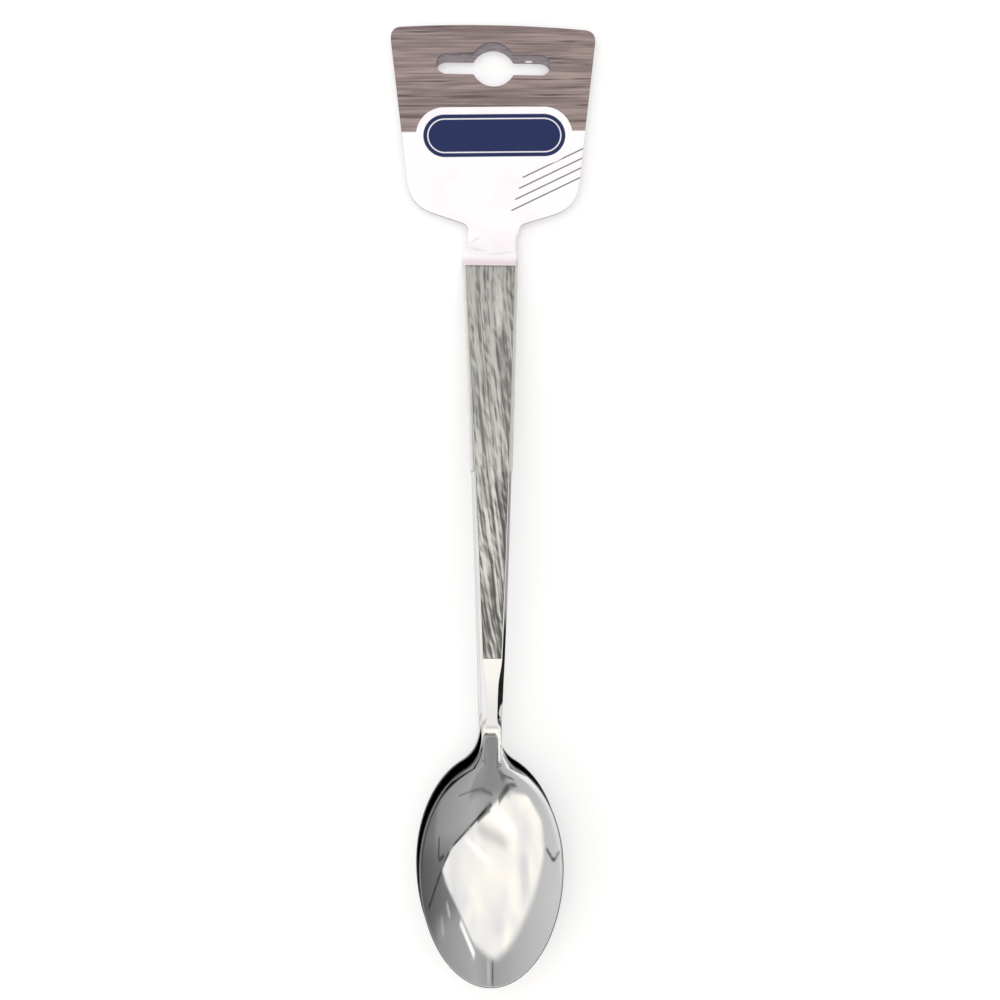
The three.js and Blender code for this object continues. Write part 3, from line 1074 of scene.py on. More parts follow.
    def edge_distance(self, x: Array, y: Array, half: Array) -> Array:
        """Distance of points from the spoon's plan outline.

        Args:
            x: Places across.
            y: Places along, one to a row.
            half: Half width of each row.

        Returns:
            The distances, close to true near the outline.
        """
        reach = np.where(y < self.tip_reach, self.tip_reach, self.shoulder_reach)
        level = 1 - (x / self.bowl_half) ** 2 - ((y - self.tip_reach) / reach) ** 2
        steep = 2 * np.hypot(x / self.bowl_half**2, (y - self.tip_reach) / reach**2)
        in_bowl = level / np.maximum(steep, TINY)
        spread = np.gradient(half[:, 0], y[:, 0])[:, None]
        on_handle = np.minimum((half - np.abs(x)) / np.hypot(1, spread), self.length - y)
        return np.maximum(np.where(y < self.oval_end, in_bowl, on_handle), 0)

    def edge_drop(self, distance: Array, y: Array, half: Array) -> Array:
        """How far the face falls away at its edges: a round rim on the bowl, a bevel on the handle.

        Args:
            distance: Distance from the outline.
            y: Places along.
            half: Half width of each row.

        Returns:
            The fall.
        """
        rim = round_drop(distance, self.rim_round)
        grown = ease(y, self.neck_start, self.neck_start + self.neck_bevel_run)
        wide = grown * (1 - ease(y, self.panel_start - self.bevel_taper, self.panel_start))
        narrow = mix(self.bevel, self.end_bevel, self.up_panel(y))
        width = np.minimum(mix(narrow, self.neck_bevel, wide), self.bevel_limit * half)
        outward = np.maximum(width - distance, 0)
        curl = self.bevel_curl * (1 - ease(y, self.neck_start, self.neck_start + self.curl_run))
        bevel = self.bevel_slope * outward + curl * outward**2
        return mix(rim, bevel, grown)

    def up_panel(self, y: Array) -> Array:
        """Share of the panel's length that lies below places along the spoon."""
        return np.clip((y - self.panel_start) / self.panel_length, 0, 1)

    def panel_share(self, distance: Array, y: Array) -> Array:
        """1 on the coined panel's floor, 0 off it."""
        margin = mix(self.panel_margin, self.end_margin, self.up_panel(y))
        side = ease(distance - margin, 0, self.panel_draft)
        return side * ease(y, self.panel_start, self.panel_start + self.panel_draft)

    def grain(self, x: Array, y: Array) -> Array:
        """Height of the panel's wood grain, from 0 in its grooves to 1 on its ridges, lowered by painted
        shade along its right side.
        """
        wide, long = self.sway_cell
        up = y - self.panel_start
        foot, top = (math.tan(math.radians(lean)) for lean in self.grain_lean)
        across = x + foot * up + (top - foot) * up**2 / (2 * self.panel_length)
        across = across + self.grain_sway * noise(x / wide, y / long, self.sway_seed)
        height = sum(layer.relief(across, y) for layer in self.grain_layers)
        # painted shade: the grain is lowered along the panel's right side, which darkens its colour there
        height = height - self.dark_side * ease(x / self.handle_half(y), *self.side_shade_range)
        share = self.up_panel(y)
        return np.clip(height * mix(*self.grain_bite, share) + mix(*self.grain_level, share), 0, 1)

    def build(self) -> bpy.types.Object:
        """Build the spoon where its solid lies.

        Returns:
            The spoon.
        """
        y_row, half_row = self.stations()
        y = y_row[:, None]
        half = half_row[:, None]
        edge = self.edge_height(y)
        sink = self.sink(y)
        thick = self.thickness(y)

        x = self.columns(half_row, self.face_columns)
        distance = self.edge_distance(x, y, half)
        panel = self.panel_share(distance, y)
        grain = self.grain(x, y)
        relief = self.panel_depth - self.grain_relief * grain
        power = mix(self.section_power, self.throat_power, ease(y, self.oval_end, self.neck_start))
        face = edge - sink * (1 - np.abs(x / half) ** power)
        face = face - self.edge_drop(distance, y, half) - panel * relief

        under = self.columns(half_row, self.back_columns)[:, ::-1]
        share = np.abs(under / half)
        slope = sink * self.section_power / half * share ** (self.section_power - 1)
        back = edge - sink * (1 - share**self.section_power) - thick * np.hypot(1, slope)
        under_distance = self.edge_distance(under, y, half)
        back = back + round_drop(under_distance, self.back_round)

        x_ring = np.concatenate([x, under], axis=1)
        z_ring = np.concatenate([face, back], axis=1)
        rings = np.stack([x_ring, np.broadcast_to(y, x_ring.shape), z_ring], axis=-1)
        rows, count, _ = rings.shape
        points = self.seat(rings.reshape(-1, 3))
        bare = np.zeros_like(under)
        to_edge = np.concatenate([distance, under_distance], axis=1)
        # painted dark reflection along the outline, weaker up the handle, kept as the rim mark
        rim_shade = 1 - ease(to_edge, self.rim_shade_width / 2, self.rim_shade_width)
        tone = mix(1, self.handle_rim_shade, ease(y, self.oval_end, self.neck_start))
        marks = {
            "grain": np.concatenate([grain * panel, bare], axis=1).ravel(),
            "panel": np.concatenate([panel, bare], axis=1).ravel(),
            "rim": (rim_shade * tone).ravel(),
        }
        faces = skin_faces(rows, count)
        faces.append(tuple(range(count)))
        faces.append(tuple(range((rows - 1) * count, rows * count)))
        return make_piece(self.name, points, faces, marks, crease=50)

    def seat(self, points: Array) -> Array:
        """Turn the spoon as it lies in the pack and move it to its solid's place.

        Args:
            points: The whole spoon's points, as drawn.

        Returns:
            The points in the pack.
        """
        low, high = node_box(self.nest.node)
        turned = self.turned(points)
        self.shift = high - turned.max(axis=0)
        self.shift[0] = (low[0] + high[0] - turned[:, 0].min() - turned[:, 0].max()) / 2
        return turned + self.shift

    def turned(self, points: Array) -> Array:
        """Points of the drawn spoon, turned about its handle's end."""
        return (points - [0, self.length, 0]) @ self.nest.turn.T

    def handle_line(self, depth: float) -> Array:
        """A line along the handle's middle.

        Args:
            depth: 0 for the handle's face, 1 for its back.

        Returns:
            Its points in the pack.
        """
        y = np.linspace(self.neck_start, self.length, self.line_steps)
        z = self.edge_height(y) - depth * self.thickness(y)
        return self.turned(np.stack([np.zeros_like(y), y, z], axis=1)) + self.shift

    def dress(self, piece: bpy.types.Object, steel: bpy.types.Material) -> None:
        """Give the spoon its finish and put it on its body.

        Args:
            piece: The spoon.
            steel: Its finish.
        """
        piece.data.materials.append(steel)
        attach(piece, "spoons")
        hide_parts(self.nest.node)


@dataclass(frozen=True)
class Crease:
    """A crease in the white collar: its middle, its slope and its reach across the collar."""

    x: float
    y: float
    slope: float
    reach: float
    half_width: float = 0.28

    def depth(self, across: Array, along: Array) -> Array:
        """How deep the crease is at points of the collar: 1 at its middle, 0 away from it."""
        off = (along - self.y - self.slope * (across - self.x)) / self.half_width
        return np.exp(-(off**2) - ((across - self.x) / self.reach) ** 2)


@dataclass
class FilmWrap:
    """The film on the handles: a clear sleeve, then a white collar that flattens towards the header."""

    front: Tablespoon
    rear: Tablespoon
    stand_off: float = 0.26  # film's outside off the handles
    wall: float = 0.08
    corner: float = 0.9
    corner_share: float = 0.46  # most of the film's height that a corner takes
    corner_steps: int = 6
    top_steps: int = 26
    side_steps: int = 5
    sleeve_lap: float = 0.25  # sleeve's upper edge under the collar
    sleeve_rows: int = 110
    collar_rows: int = 60
    ripple: float = 0.07
    ripple_count: float = 9.0  # waves round the sleeve
    ripple_length: float = 7.0
    ripple_twist: float = 3.0  # waves by which the ripple is moved along, once round
    ripple_seed: int = 21
    collar_lap: float = 1.05  # collar's edge over the front handle's end
    tail_lap: float = 1.2  # collar's end over the header's tail
    mouth_height: float = 1.16
    mouth_half: float = 7.3
    collar_gap: float = 0.06  # collar's outside off the sleeve's
    plain_run: float = 0.6  # left as it is at each end of the part that flattens
    crumple: float = 0.22
    dent_cell: Span = (3.1, 2.3)
    dent_seed: int = 31
    calm_run: float = 1.4  # length over which the dents fade at each end
    calm_lap: float = 0.2
    creases: tuple[Crease, ...] = (
        Crease(-5.2, 74.6, 0.5, 1.5),
        Crease(-4.2, 71.6, -0.22, 2.3),
        Crease(2.6, 70.4, 0.12, 3.6),
    )
    crease_depth: float = 0.18
    # strength of the painted shade in the creases
    crease_shade: float = 0.55
    waist: float = 0.5  # drawn in on the right before the header
    waist_place: float = 1.6  # before the header's tail
    waist_half: float = 2.2
    waist_side: Span = (3.0, 7.0)
    bend_start: float = 4.6  # before the header's tail
    bend_end: float = 0.1  # past it

    def section(self, half: Array, top: Array, bottom: Array) -> tuple[Array, Array]:
        """Rounded rectangles across the handles.

        Args:
            half: Half width of each ring.
            top: Top height of each ring.
            bottom: Bottom height of each ring.

        Returns:
            The rings' points across and up, and 1 on their folded sides against 0 on their flats.
        """
        radius = np.minimum(self.corner, self.corner_share * (top - bottom))
        arc = np.linspace(0, math.pi / 2, self.corner_steps)
        parts = []
        folds = []
        spots = ((1, 1, top, 0), (1, -1, bottom, 1), (-1, -1, bottom, 2), (-1, 1, top, 3))
        for side, upward, height, quarter in spots:
            angle = math.pi / 2 - quarter * math.pi / 2 - arc
            across = side * (half - radius)[:, None] + radius[:, None] * np.cos(angle)
            up = (height - upward * radius)[:, None] + radius[:, None] * np.sin(angle)
            parts.append(np.stack([across, up], axis=-1))
            folds.append(np.abs(np.cos(angle)))
        ring = []
        fold = []
        for i, part in enumerate(parts):
            after = parts[(i + 1) % len(parts)]
            steps = self.side_steps if i % 2 == 0 else self.top_steps
            shares = np.linspace(0, 1, steps + 2)[1:-1][None, :, None]
            ring += [part, mix(part[:, -1:], after[:, :1], shares)]
            fold += [folds[i], np.full(steps, 1.0 if i % 2 == 0 else 0.0)]
        return np.concatenate(ring, axis=1), np.concatenate(fold)

    def stack(self, y: Array) -> tuple[Array, Array, Array, Array]:
        """The space of the two handles.

        Args:
            y: Places along the pack.

        Returns:
            Its middle, half width, top and bottom at each place.
        """
        face = self.front.handle_line(0)
        back = self.rear.handle_line(1)
        drawn = y - self.front.shift[1] + self.front.length
        half = self.front.handle_half(np.minimum(drawn, self.front.length))
        lean = np.interp(y, back[:, 1], np.abs(back[:, 0] - face[-1, 0]))
        middle = np.full_like(y, face[-1, 0]) - lean / 2
        top = np.interp(y, face[:, 1], face[:, 2])
        bottom = np.interp(y, back[:, 1], back[:, 2])
        return middle, half + lean / 2, top, bottom

    def tube(
        self,
        name: str,
        y: Array,
        middle: Array,
        sizes: tuple[Array, Array, Array],
        lift: Array,
        mark: str,
        marked: Array | None = None,
    ) -> bpy.types.Object:
        """Make a thin tube of film.

        Args:
            name: The piece's name.
            y: Places of its rings.
            middle: Middle of each ring across the pack.
            sizes: Half width, top and bottom of each ring's outside.
            lift: How far each point stands out of the plain form.
            mark: Name of the value kept on its points.
            marked: That value, or none for the folded sides.

        Returns:
            The tube.
        """
        half, top, bottom = sizes
        outer, fold = self.section(half, top, bottom)
        inner, _ = self.section(half - self.wall, top - self.wall, bottom + self.wall)
        centre = np.stack([np.zeros_like(y), (top + bottom) / 2], axis=-1)[:, None]
        away = outer - centre
        away /= np.linalg.norm(away, axis=-1, keepdims=True)
        skins = []
        for ring in (outer, inner):
            moved = ring + away * lift[..., None]
            across = moved[..., 0] + middle[:, None]
            along = np.broadcast_to(y[:, None], across.shape)
            skins.append(np.stack([across, along, moved[..., 1]], axis=-1))
        rows, count = outer.shape[:2]
        points = np.concatenate([skin.reshape(-1, 3) for skin in skins])
        kept = np.broadcast_to(fold, (rows, count)) if marked is None else marked
        marks = {mark: np.tile(kept.ravel(), 2)}
        return make_piece(name, points, tube_faces(rows, count), marks, crease=60)

    def build_sleeve(self) -> bpy.types.Object:
        """Build the clear sleeve on both handles.

        Returns:
            The sleeve.
        """
        low, _ = node_box("film_sleeve")
        y = np.linspace(low[1], self.front.shift[1] + self.sleeve_lap, self.sleeve_rows)
        middle, half, top, bottom = self.stack(y)
        sizes = (half + self.stand_off, top + self.stand_off, bottom - self.stand_off)
        outer, _ = self.section(*sizes)
        around = np.linspace(0, 1, outer.shape[1], endpoint=False)[None, :]
        along = y[:, None] / self.ripple_length + around * self.ripple_twist
        wave = noise(around * self.ripple_count, along, self.ripple_seed) - 0.5
        return self.tube("clear_sleeve", y, middle, sizes, self.ripple * wave, "fold")

    def build_collar(self) -> bpy.types.Object:
        """Build the white collar from the handles' end to the header's tail.

        Returns:
            The collar.
        """
        tail_low, tail_high = node_box("header_front_ply")
        back_low, _ = node_box("header_back_ply")
        handle_end = self.front.shift[1]
        y = np.linspace(handle_end - self.collar_lap, tail_low[1] + self.tail_lap, self.collar_rows)
        middle, half, top, bottom = self.stack(y)
        flatter = ease(y, handle_end + self.plain_run, tail_low[1] - self.plain_run)
        level = (tail_high[2] + back_low[2]) / 2
        header_middle = (tail_low[0] + tail_high[0]) / 2
        off = self.stand_off + self.collar_gap
        sizes = (
            mix(half + off, self.mouth_half, flatter),
            mix(top + off, level + self.mouth_height / 2, flatter),
            mix(bottom - off, level - self.mouth_height / 2, flatter),
        )
        middle = mix(middle, header_middle, flatter)
        outer, _ = self.section(*sizes)
        across = outer[..., 0]
        along = np.broadcast_to(y[:, None], across.shape)
        calm = 1 - ease(along, tail_low[1] - self.calm_run, tail_low[1])
        calm = calm * ease(along, handle_end - self.calm_lap, handle_end + self.calm_run)
        wide, long = self.dent_cell
        dents = noise(across / wide, along / long, self.dent_seed) - 0.5
        creases = np.max([crease.depth(across, along) for crease in self.creases], axis=0)
        creases = creases * (outer[..., 1] > (sizes[1] + sizes[2])[:, None] / 2)
        to_waist = (along - tail_low[1] + self.waist_place) / self.waist_half
        pinch = np.exp(-(to_waist**2)) * ease(across, *self.waist_side)
        lift = calm * self.crumple * dents - self.crease_depth * creases - self.waist * pinch
        # the crease mark carries painted shade along the creases
        return self.tube("white_collar", y, middle, sizes, lift, "crease", self.crease_shade * creases)

    def dress(
        self,
        sleeve: bpy.types.Object,
        collar: bpy.types.Object,
        clear: bpy.types.Material,
        white: bpy.types.Material,
    ) -> None:
        """Give the film its finishes and put the sleeve on its body.

        Args:
            sleeve: The clear sleeve.
            collar: The white collar, between the spoons and the header.
            clear: The sleeve's finish.
            white: The collar's finish.
        """
        sleeve.data.materials.append(clear)
        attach(sleeve, "spoons")
        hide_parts("film_sleeve")
        collar.data.materials.append(white)
        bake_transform(collar)
        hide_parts("film_sleeve")


class Ply(Enum):
    """The header's two plies: the solid, how far its slot drops, and how far it slips from its place."""

    FRONT = ("header_front_ply", 0.0, (0.0, 0.0))
    BACK = ("header_back_ply", 2.2, (0.0, -0.26))

    @property
    def node(self) -> str:
        """Name of the solid that the ply stands for."""
        return self.value[0]


@dataclass
class HeaderPly:
    """One ply of the hanging header, drawn from its tail up."""

    name: str
    ply: Ply
    tail_half: float = 7.25
    tail_length: float = 2.7
    shoulder_drop: float = 5.4
    base_half: float = 24.1
    top_half: float = 30.1
    height: float = 52.0
    crown: float = 0.8
    tail_corner: float = 2.0
    base_corner: float = 7.0
    top_corner: float = 4.0
    slot_half: float = 16.6
    wing: float = 3.0
    hole: float = 6.5
    slot_drop: float = 10.6
    chip_place: Point = (10.3, 3.6)  # from the middle of the rear slot
    chip_half: Span = (1.25, 0.4)
    bow: float = 0.35
    bow_level: float = 0.5
    swell: float = 0.5
    swell_cell: Span = (17.0, 14.0)
    swell_seed: int = 41
    curve_steps: int = 14
    mesh_step: float = 2.0

    def outline(self) -> list[Point]:
        """The ply's outer edge, each corner rounded by a quadratic curve.

        Returns:
            Its points from the tail's middle, in order.
        """
        base = self.tail_length + self.shoulder_drop
        top = base + self.height
        right = [
            (self.tail_half, 0.0, 0.0),
            (self.tail_half, self.tail_length, self.tail_corner),
            (self.base_half, base, self.base_corner),
            (self.top_half, top, self.top_corner),
        ]
        corners = right + [(-x, y, r) for x, y, r in reversed(right)]
        points = []
        for i, (x, y, radius) in enumerate(corners):
            here = Vector((x, y))
            to_before = Vector(corners[i - 1][:2]) - here
            to_after = Vector(corners[(i + 1) % len(corners)][:2]) - here
            enter = here + to_before.normalized() * radius
            leave = here + to_after.normalized() * radius
            if i == len(right):
                last = Vector(points[-1])
                points += self.bend(last, Vector((0, y + 2 * self.crown)), enter)[1:-1]
            points += self.bend(enter, here, leave) if radius else [tuple(here)]
        return points

    def bend(self, start: Vector, pull: Vector, end: Vector) -> list[Point]:
        """Points of a quadratic curve from its start to its end, both in it."""
        shares = [i / self.curve_steps for i in range(self.curve_steps + 1)]
        return [tuple((1 - s) ** 2 * start + 2 * s * (1 - s) * pull + s * s * end) for s in shares]

    @property
    def slot_middle(self) -> float:
        """Height of the slot's middle over the tail's end."""
        return self.tail_length + self.shoulder_drop + self.height - self.slot_drop - self.ply.value[1]

    def slot(self) -> list[Point]:
        """The hanging slot's edge: a round hole with a wing on each side.

        Returns:
            Its points, in order.
        """
        middle = self.slot_middle
        reach = self.slot_half - self.wing
        meet = math.asin(self.wing / self.hole)
        arcs = (
            (-reach, self.wing, math.pi / 2, 3 * math.pi / 2),
            (0.0, self.hole, math.pi + meet, 2 * math.pi - meet),
            (reach, self.wing, -math.pi / 2, math.pi / 2),
            (0.0, self.hole, meet, math.pi - meet),
        )
        points = []
        for x, radius, first, last in arcs:
            for angle in np.linspace(first, last, 2 * self.curve_steps):
                points.append((x + radius * math.cos(angle), middle + radius * math.sin(angle)))
        return points

    def chip(self) -> list[Point]:
        """A small chip torn out of the rear ply above its slot."""
        x, rise = self.chip_place
        y = self.slot_middle + rise
        wide, high = self.chip_half
        angles = np.linspace(0, 2 * math.pi, self.curve_steps, endpoint=False)
        return [(x + wide * math.cos(a), y + high * math.sin(a)) for a in angles]

    def build(self) -> bpy.types.Object:
        """Build the ply where its solid lies, slightly bowed.

        Returns:
            The ply.
        """
        low, high = node_box(self.ply.node)
        loops = [self.outline(), self.slot()]
        if self.ply is Ply.BACK:
            loops.append(self.chip())
        sheet = bmesh.new()
        for loop in loops:
            corners = [sheet.verts.new((x, y, 0)) for x, y in loop]
            for i, corner in enumerate(corners):
                sheet.edges.new((corners[i - 1], corner))
        bmesh.ops.triangle_fill(sheet, use_beauty=True, edges=sheet.edges[:])
        cuts = ((Vector((1, 0, 0)), -self.top_half, self.top_half), (Vector((0, 1, 0)), 0, high[1] - low[1]))
        for normal, first, last in cuts:
            for place in np.arange(first, last, self.mesh_step)[1:]:
                every = sheet.verts[:] + sheet.edges[:] + sheet.faces[:]
                bmesh.ops.bisect_plane(sheet, geom=every, plane_co=normal * place, plane_no=normal)
        sheet.verts.ensure_lookup_table()
        sheet.verts.index_update()
        flat = np.array([corner.co[:] for corner in sheet.verts])
        triangles = [[corner.index for corner in patch.verts] for patch in sheet.faces]
        rims = [tuple(corner.index for corner in edge.verts) for edge in sheet.edges if edge.is_boundary]
        sheet.free()
        return self.thicken(flat, triangles, rims, low, high)

    def thicken(
        self,
        flat: Array,
        patches: list[list[int]],
        rims: list[tuple[int, int]],
        low: Array,
        high: Array,
    ) -> bpy.types.Object:
        """Give the flat sheet its bow and thickness.

        Args:
            flat: Its points.
            patches: Its faces.
            rims: Its border edges.
            low: The solid's lowest corner.
            high: The solid's highest corner.

        Returns:
            The ply.
        """
        count = len(flat)
        slip = np.array(self.ply.value[2])
        tail_free = ease(flat[:, 1], self.tail_length, self.height)
        across = (flat[:, 0] / self.top_half) ** 2
        wide, long = self.swell_cell
        swell = (noise(flat[:, 0] / wide, flat[:, 1] / long, self.swell_seed) - 0.5) * self.swell
        rise = self.bow * tail_free * (self.bow_level - across + swell)
        middle = (low[0] + high[0]) / 2
        slipped = tail_free[:, None] * slip
        plan = flat[:, :2] + [middle, low[1]] + slipped
        upper = np.column_stack([plan, high[2] + rise])
        lower = np.column_stack([plan, low[2] + rise])
        faces = [list(patch) for patch in patches]
        faces += [[count + i for i in reversed(patch)] for patch in patches]
        faces += [[a, b, count + b, count + a] for a, b in rims]
        marks = {"face_up": np.repeat([1.0, 0.0], count)}
        return make_piece(self.name, np.concatenate([upper, lower]), faces, marks, crease=35)

    def dress(self, piece: bpy.types.Object, film: bpy.types.Material) -> None:
        """Give the ply its finish and put it on its body.

        Args:
            piece: The ply.
            film: Its finish.
        """
        piece.data.materials.append(film)
        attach(piece, "header")
        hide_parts(self.ply.node)


@dataclass(frozen=True)
class SkyBar:
    """A bar of the studio's sky.

    It is placed in degrees from the zenith: x to the right, y towards the header.
    """

    x: float
    y: float
    angle: float
    half_length: float
    half_width: float
    gain: float
    soft: float = 0.5
    side_fade: ClassVar[Span] = (0.5, 1.0)  # shares of its softness inside and outside its edge
    end_fade: ClassVar[Span] = (1.0, 2.0)

    def faded(self, off: Value, half: float, fade: Span) -> Value:
        """1 inside an edge of the bar and 0 outside it, over its softness."""
        return 1 - off.rise(half - self.soft * fade[0], half + self.soft * fade[1])

    def change(self, right: Value, ahead: Value) -> Value:
        """How much the bar changes the sky's light.

        Args:
            right: Degrees from the zenith to the right.
            ahead: Degrees from the zenith towards the header.

        Returns:
            The bar's gain on it, and 1 off it.
        """
        turn = math.radians(self.angle)
        along = abs((right - self.x) * math.cos(turn) + (ahead - self.y) * math.sin(turn))
        across = abs((ahead - self.y) * math.cos(turn) - (right - self.x) * math.sin(turn))
        on = self.faded(across, self.half_width, self.side_fade)
        on = on * self.faded(along, self.half_length, self.end_fade)
        return 1 + on * (self.gain - 1)


@dataclass
class Studio:
    """Plain soft light from above, a pale floor and the camera."""

    panel_light: float = 1.4
    wall_light: float = 0.55
    wall_fall: float = 0.005  # wall light lost for each degree to the right
    least_wall: float = 0.02
    right_lift: float = 0.2  # more light on the right, away from the middle
    lift_ahead: Span = (2.0, 14.0)
    lift_behind: Span = (14.0, 32.0)
    lift_right: Span = (0.0, 25.0)
    lift_end: Span = (62.0, 68.0)
    lift_loss: float = 0.6  # share of it lost past its end
    low_light: float = 0.62  # light low down on the right
    low_height: Span = (79.0, 83.0)
    low_side: Span = (0.1, 0.4)
    dark_side: float = 0.03  # share of it left towards the bowls
    dark_behind: Span = (9.0, 14.0)
    left_glow: float = 1.35  # light low down on the left
    glow_height: Span = (71.0, 79.0)
    glow_side: Span = (0.2, 0.6)
    sheen_scale: float = 2.3
    sheen_warp: float = 0.5
    sheen_base: float = 0.62  # the panel's light where its sheen is least
    sheen_gain: float = 0.76
    tint_range: Span = (0.25, 0.75)
    cream: Colour = (1.0, 0.962, 0.89, 1.0)
    pearl: Colour = (0.985, 0.985, 1.0, 1.0)
    below: float = 0.75
    horizon: Span = (-0.05, 0.0)
    zenith_gap: float = 1e-4  # keeps the sky's middle from a division by 0
    # sides of the bright overhead panel: direction, reach and softness, all in degrees
    panel_sides: tuple[Triple, ...] = (
        (50.0, 30.0, 1.2),
        (71.0, 27.2, 2.0),
        (105.0, 27.5, 3.0),
        (121.0, 28.5, 4.0),
        (139.0, 34.5, 4.0),
        (160.0, 46.3, 3.0),
        (188.0, 58.5, 2.5),
        (231.0, 61.6, 2.5),
        (-80.0, 37.8, 1.5),
        (-71.0, 35.2, 0.8),
        (-56.0, 42.8, 1.0),
        (36.0, 39.5, 1.0),
    )
    bars: tuple[SkyBar, ...] = (
        SkyBar(23.5, -29.6, 19.3, 22.0, 0.6, 0.12),
        SkyBar(9.5, -34.0, 19.3, 6.0, 1.3, 0.3),
        SkyBar(-17.4, -43.0, 20.7, 14.0, 0.8, 0.25),
        SkyBar(-20.0, -47.5, 20.7, 11.0, 0.7, 0.4),
        SkyBar(22.5, -42.0, -7.0, 20.5, 0.25, 0.4, 0.3),
        SkyBar(61.0, -23.0, 88.0, 5.2, 0.6, 0.3),
        SkyBar(58.0, -17.7, 15.0, 2.6, 0.8, 0.25),
        SkyBar(61.0, -9.5, 40.5, 15.0, 0.6, 0.2),
        SkyBar(-61.8, -20.0, -34.8, 3.8, 0.9, 0.25),
        SkyBar(-65.7, -17.9, 0.0, 1.1, 0.9, 0.25),
        SkyBar(-68.6, -20.4, 49.4, 3.1, 0.6, 0.3),
        SkyBar(2.2, 33.0, 87.0, 4.2, 0.4, 0.2),
        SkyBar(5.4, 33.0, 87.0, 4.0, 1.2, 1.4, 0.8),
        SkyBar(28.4, 19.2, -41.6, 10.5, 1.2, 2.6, 1.0),
        SkyBar(51.0, 5.0, -63.4, 3.0, 0.9, 2.2, 0.8),
        SkyBar(58.5, 10.3, 99.0, 3.5, 1.2, 1.4, 1.0),
        SkyBar(1.2, -24.8, -16.2, 13.0, 2.0, 0.76, 3.5),
        SkyBar(-10.7, -30.9, -15.7, 12.0, 1.5, 1.15, 3.0),
        SkyBar(16.9, -18.7, -25.6, 13.0, 0.9, 1.2, 2.6),
        SkyBar(-35.0, -6.0, 100.0, 7.0, 4.0, 0.86, 4.0),
        SkyBar(5.0, -47.0, 0.0, 22.0, 6.5, 0.72, 2.0),
    )
    aim: Triple = (1.73, -0.6, 6.0)
    distance: float = 450.0
    lean: float = -3.5  # degrees that the camera stands to the right of straight above
    tip: float = -1.7  # degrees that it stands towards the header
    pixels_per_mm: float = 3.5  # at the aim
    image_width: float = 1000.0
    sensor: float = 36.0
    lamp_place: Triple = (-150.0, 120.0, 700.0)
    lamp_width: float = 600.0
    lamp_power: float = 0.8
    floor_half: float = 1600.0
    floor_drop: float = 0.05

    def sky(self) -> None:
        """Make the light: a bright overhead panel with grey walls round it."""
        world = bpy.data.worlds.new("studio_sky")
        world.use_nodes = True
        bench = Bench(world.node_tree)
        direction = bench.node("ShaderNodeTexCoord", out="Generated")
        x, y, z = bench.split(direction)
        zenith = z.maths("ARCCOSINE", z) * math.degrees(1)
        level = (x * x + y * y).root().largest(self.zenith_gap)
        right = zenith * x / level
        ahead = zenith * y / level
        panel = None
        for turn, reach, soft in self.panel_sides:
            angle = math.radians(turn)
            outward = right * math.cos(angle) + ahead * math.sin(angle)
            inside = 1 - outward.rise(reach - soft, reach + soft)
            panel = inside if panel is None else panel * inside
        behind = ahead * -1
        side = x / level
        lift = (ahead.rise(*self.lift_ahead) + behind.rise(*self.lift_behind)) * self.right_lift
        lift = lift * right.rise(*self.lift_right) * (1 - right.rise(*self.lift_end) * self.lift_loss)
        wall = (self.wall_light - right * self.wall_fall + lift).largest(self.least_wall)
        glow = zenith.rise(*self.glow_height) * (side * -1).rise(*self.glow_side)
        wall = wall + (self.left_glow - wall) * glow
        low = zenith.rise(*self.low_height) * side.rise(*self.low_side)
        shade = behind.rise(*self.dark_behind) * (1 - self.dark_side)
        wall = wall + (self.low_light * (1 - shade) - wall) * low
        sheen = bench.noise(direction, self.sheen_scale, 1, self.sheen_warp)
        bright = self.panel_light * (self.sheen_base + sheen * self.sheen_gain)
        light = wall + (bright - wall) * panel
        for bar in self.bars:
            light = light * bar.change(right, ahead)
        light = self.below + (light - self.below) * z.rise(*self.horizon)
        tint = bench.blend(panel * sheen.rise(*self.tint_range), self.pearl, self.cream)
        back = bench.node("ShaderNodeBackground", None, {"Color": tint, "Strength": light})
        bench.output("ShaderNodeOutputWorld", back)
        bpy.context.scene.world = world

    def lamp(self) -> bpy.types.Object:
        """Hang a broad lamp that lights what is matte and doesn't show in the steel.

        Returns:
            The lamp.
        """
        data = bpy.data.lights.new("fill_lamp", "AREA")
        data.shape = "DISK"
        data.size = self.lamp_width * MM
        data.energy = self.lamp_power
        lamp = put("fill_lamp", data)
        lamp.location = Vector(self.lamp_place) * MM
        lamp.rotation_euler = lamp.location.to_track_quat("Z", "Y").to_euler()
        lamp.visible_glossy = False
        return lamp

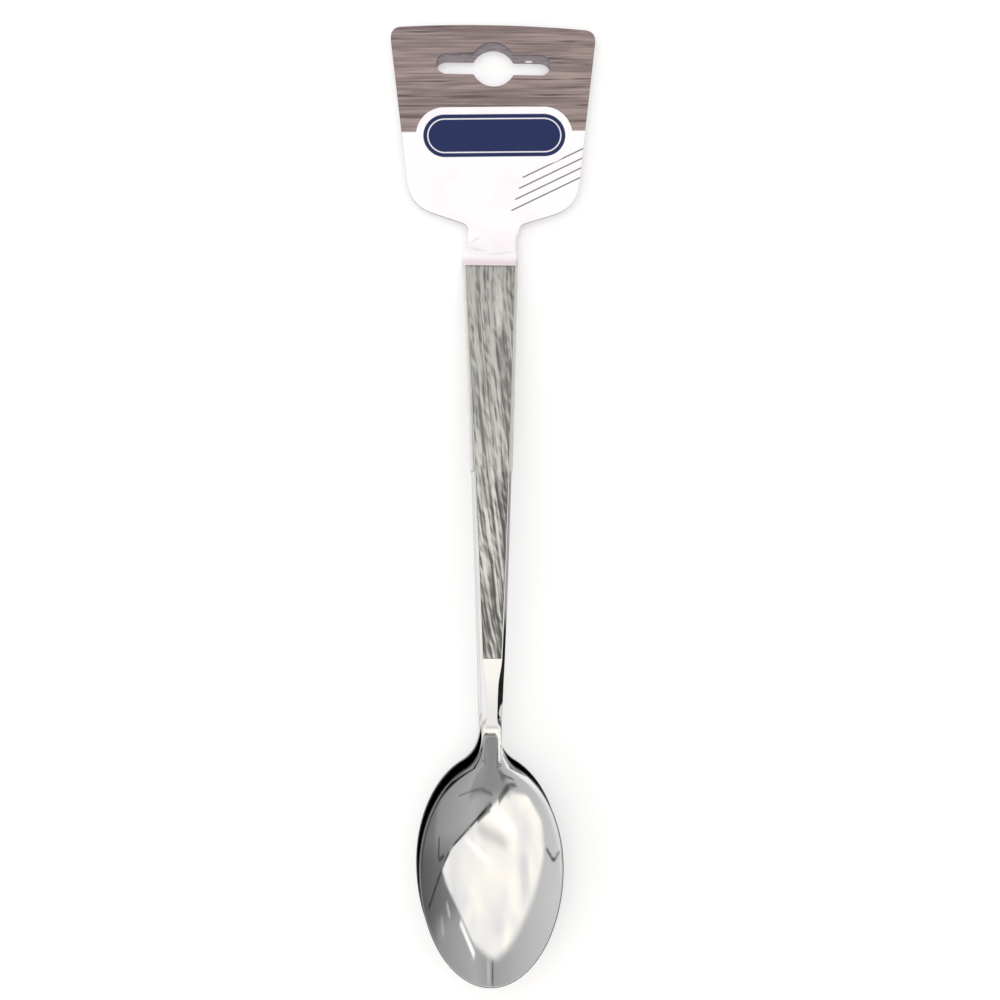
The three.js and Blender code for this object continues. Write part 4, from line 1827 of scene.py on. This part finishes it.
    def floor(self, finish: bpy.types.Material) -> bpy.types.Object:
        """Lay the floor under the pack.

        Args:
            finish: Its material.

        Returns:
            The floor.
        """
        reach = self.floor_half * MM
        drop = -self.floor_drop * MM
        corners = [(x * reach, y * reach, drop) for x, y in ((-1, -1), (1, -1), (1, 1), (-1, 1))]
        mesh = bpy.data.meshes.new("pale_floor")
        mesh.from_pydata(corners, [], [(0, 1, 2, 3)])
        mesh.materials.append(finish)
        floor = put("pale_floor", mesh)
        return floor

    def camera(self) -> bpy.types.Object:
        """Set the camera above the pack.

        Returns:
            The camera.
        """
        data = bpy.data.cameras.new("camera")
        data.sensor_width = self.sensor
        data.lens = self.sensor * self.pixels_per_mm * self.distance / self.image_width
        camera = put("camera", data)
        side = math.sin(math.radians(self.lean))
        along = math.sin(math.radians(self.tip))
        away = Vector((side, along, math.sqrt(1 - side**2 - along**2)))
        camera.location = (Vector(self.aim) + away * self.distance) * MM
        across = Vector((0, 1, 0)).cross(away).normalized()
        camera.rotation_euler = Matrix((across, away.cross(across), away)).transposed().to_euler()
        bpy.context.scene.camera = camera
        return camera


def report(piece: bpy.types.Object) -> None:
    """Log a piece that is built and dressed."""
    log.info("%s: %d points", piece.name, len(piece.data.vertices))


def main() -> None:
    """Build and dress every piece, then light it and set the camera."""
    logging.basicConfig(level=logging.INFO, format="%(message)s")
    bpy.context.scene.view_settings.view_transform = "Standard"

    steel = PolishedSteel().material()
    front = Tablespoon("front_tablespoon", Nest.FRONT, row_step=0.36, face_columns=88)
    rear = Tablespoon("rear_tablespoon", Nest.REAR, row_step=1.2, face_columns=48)
    for spoon in (front, rear):
        piece = spoon.build()
        spoon.dress(piece, steel)
        report(piece)

    wrap = FilmWrap(front, rear)
    sleeve = wrap.build_sleeve()
    collar = wrap.build_collar()
    wrap.dress(sleeve, collar, ClearFilm().material(), WhiteFilm().material())
    for piece in (sleeve, collar):
        report(piece)

    for ply, film in (
        (HeaderPly("printed_ply", Ply.FRONT), PrintedPly()),
        (HeaderPly("backing_ply", Ply.BACK), PlainPly()),
    ):
        piece = ply.build()
        ply.dress(piece, film.material())
        report(piece)

    studio = Studio()
    studio.sky()
    log.info("%s hung", studio.lamp().name)
    log.info("%s laid", studio.floor(PaleFloor().material()).name)
    log.info("%s set", studio.camera().name)


if __name__ == "__main__":
    main()
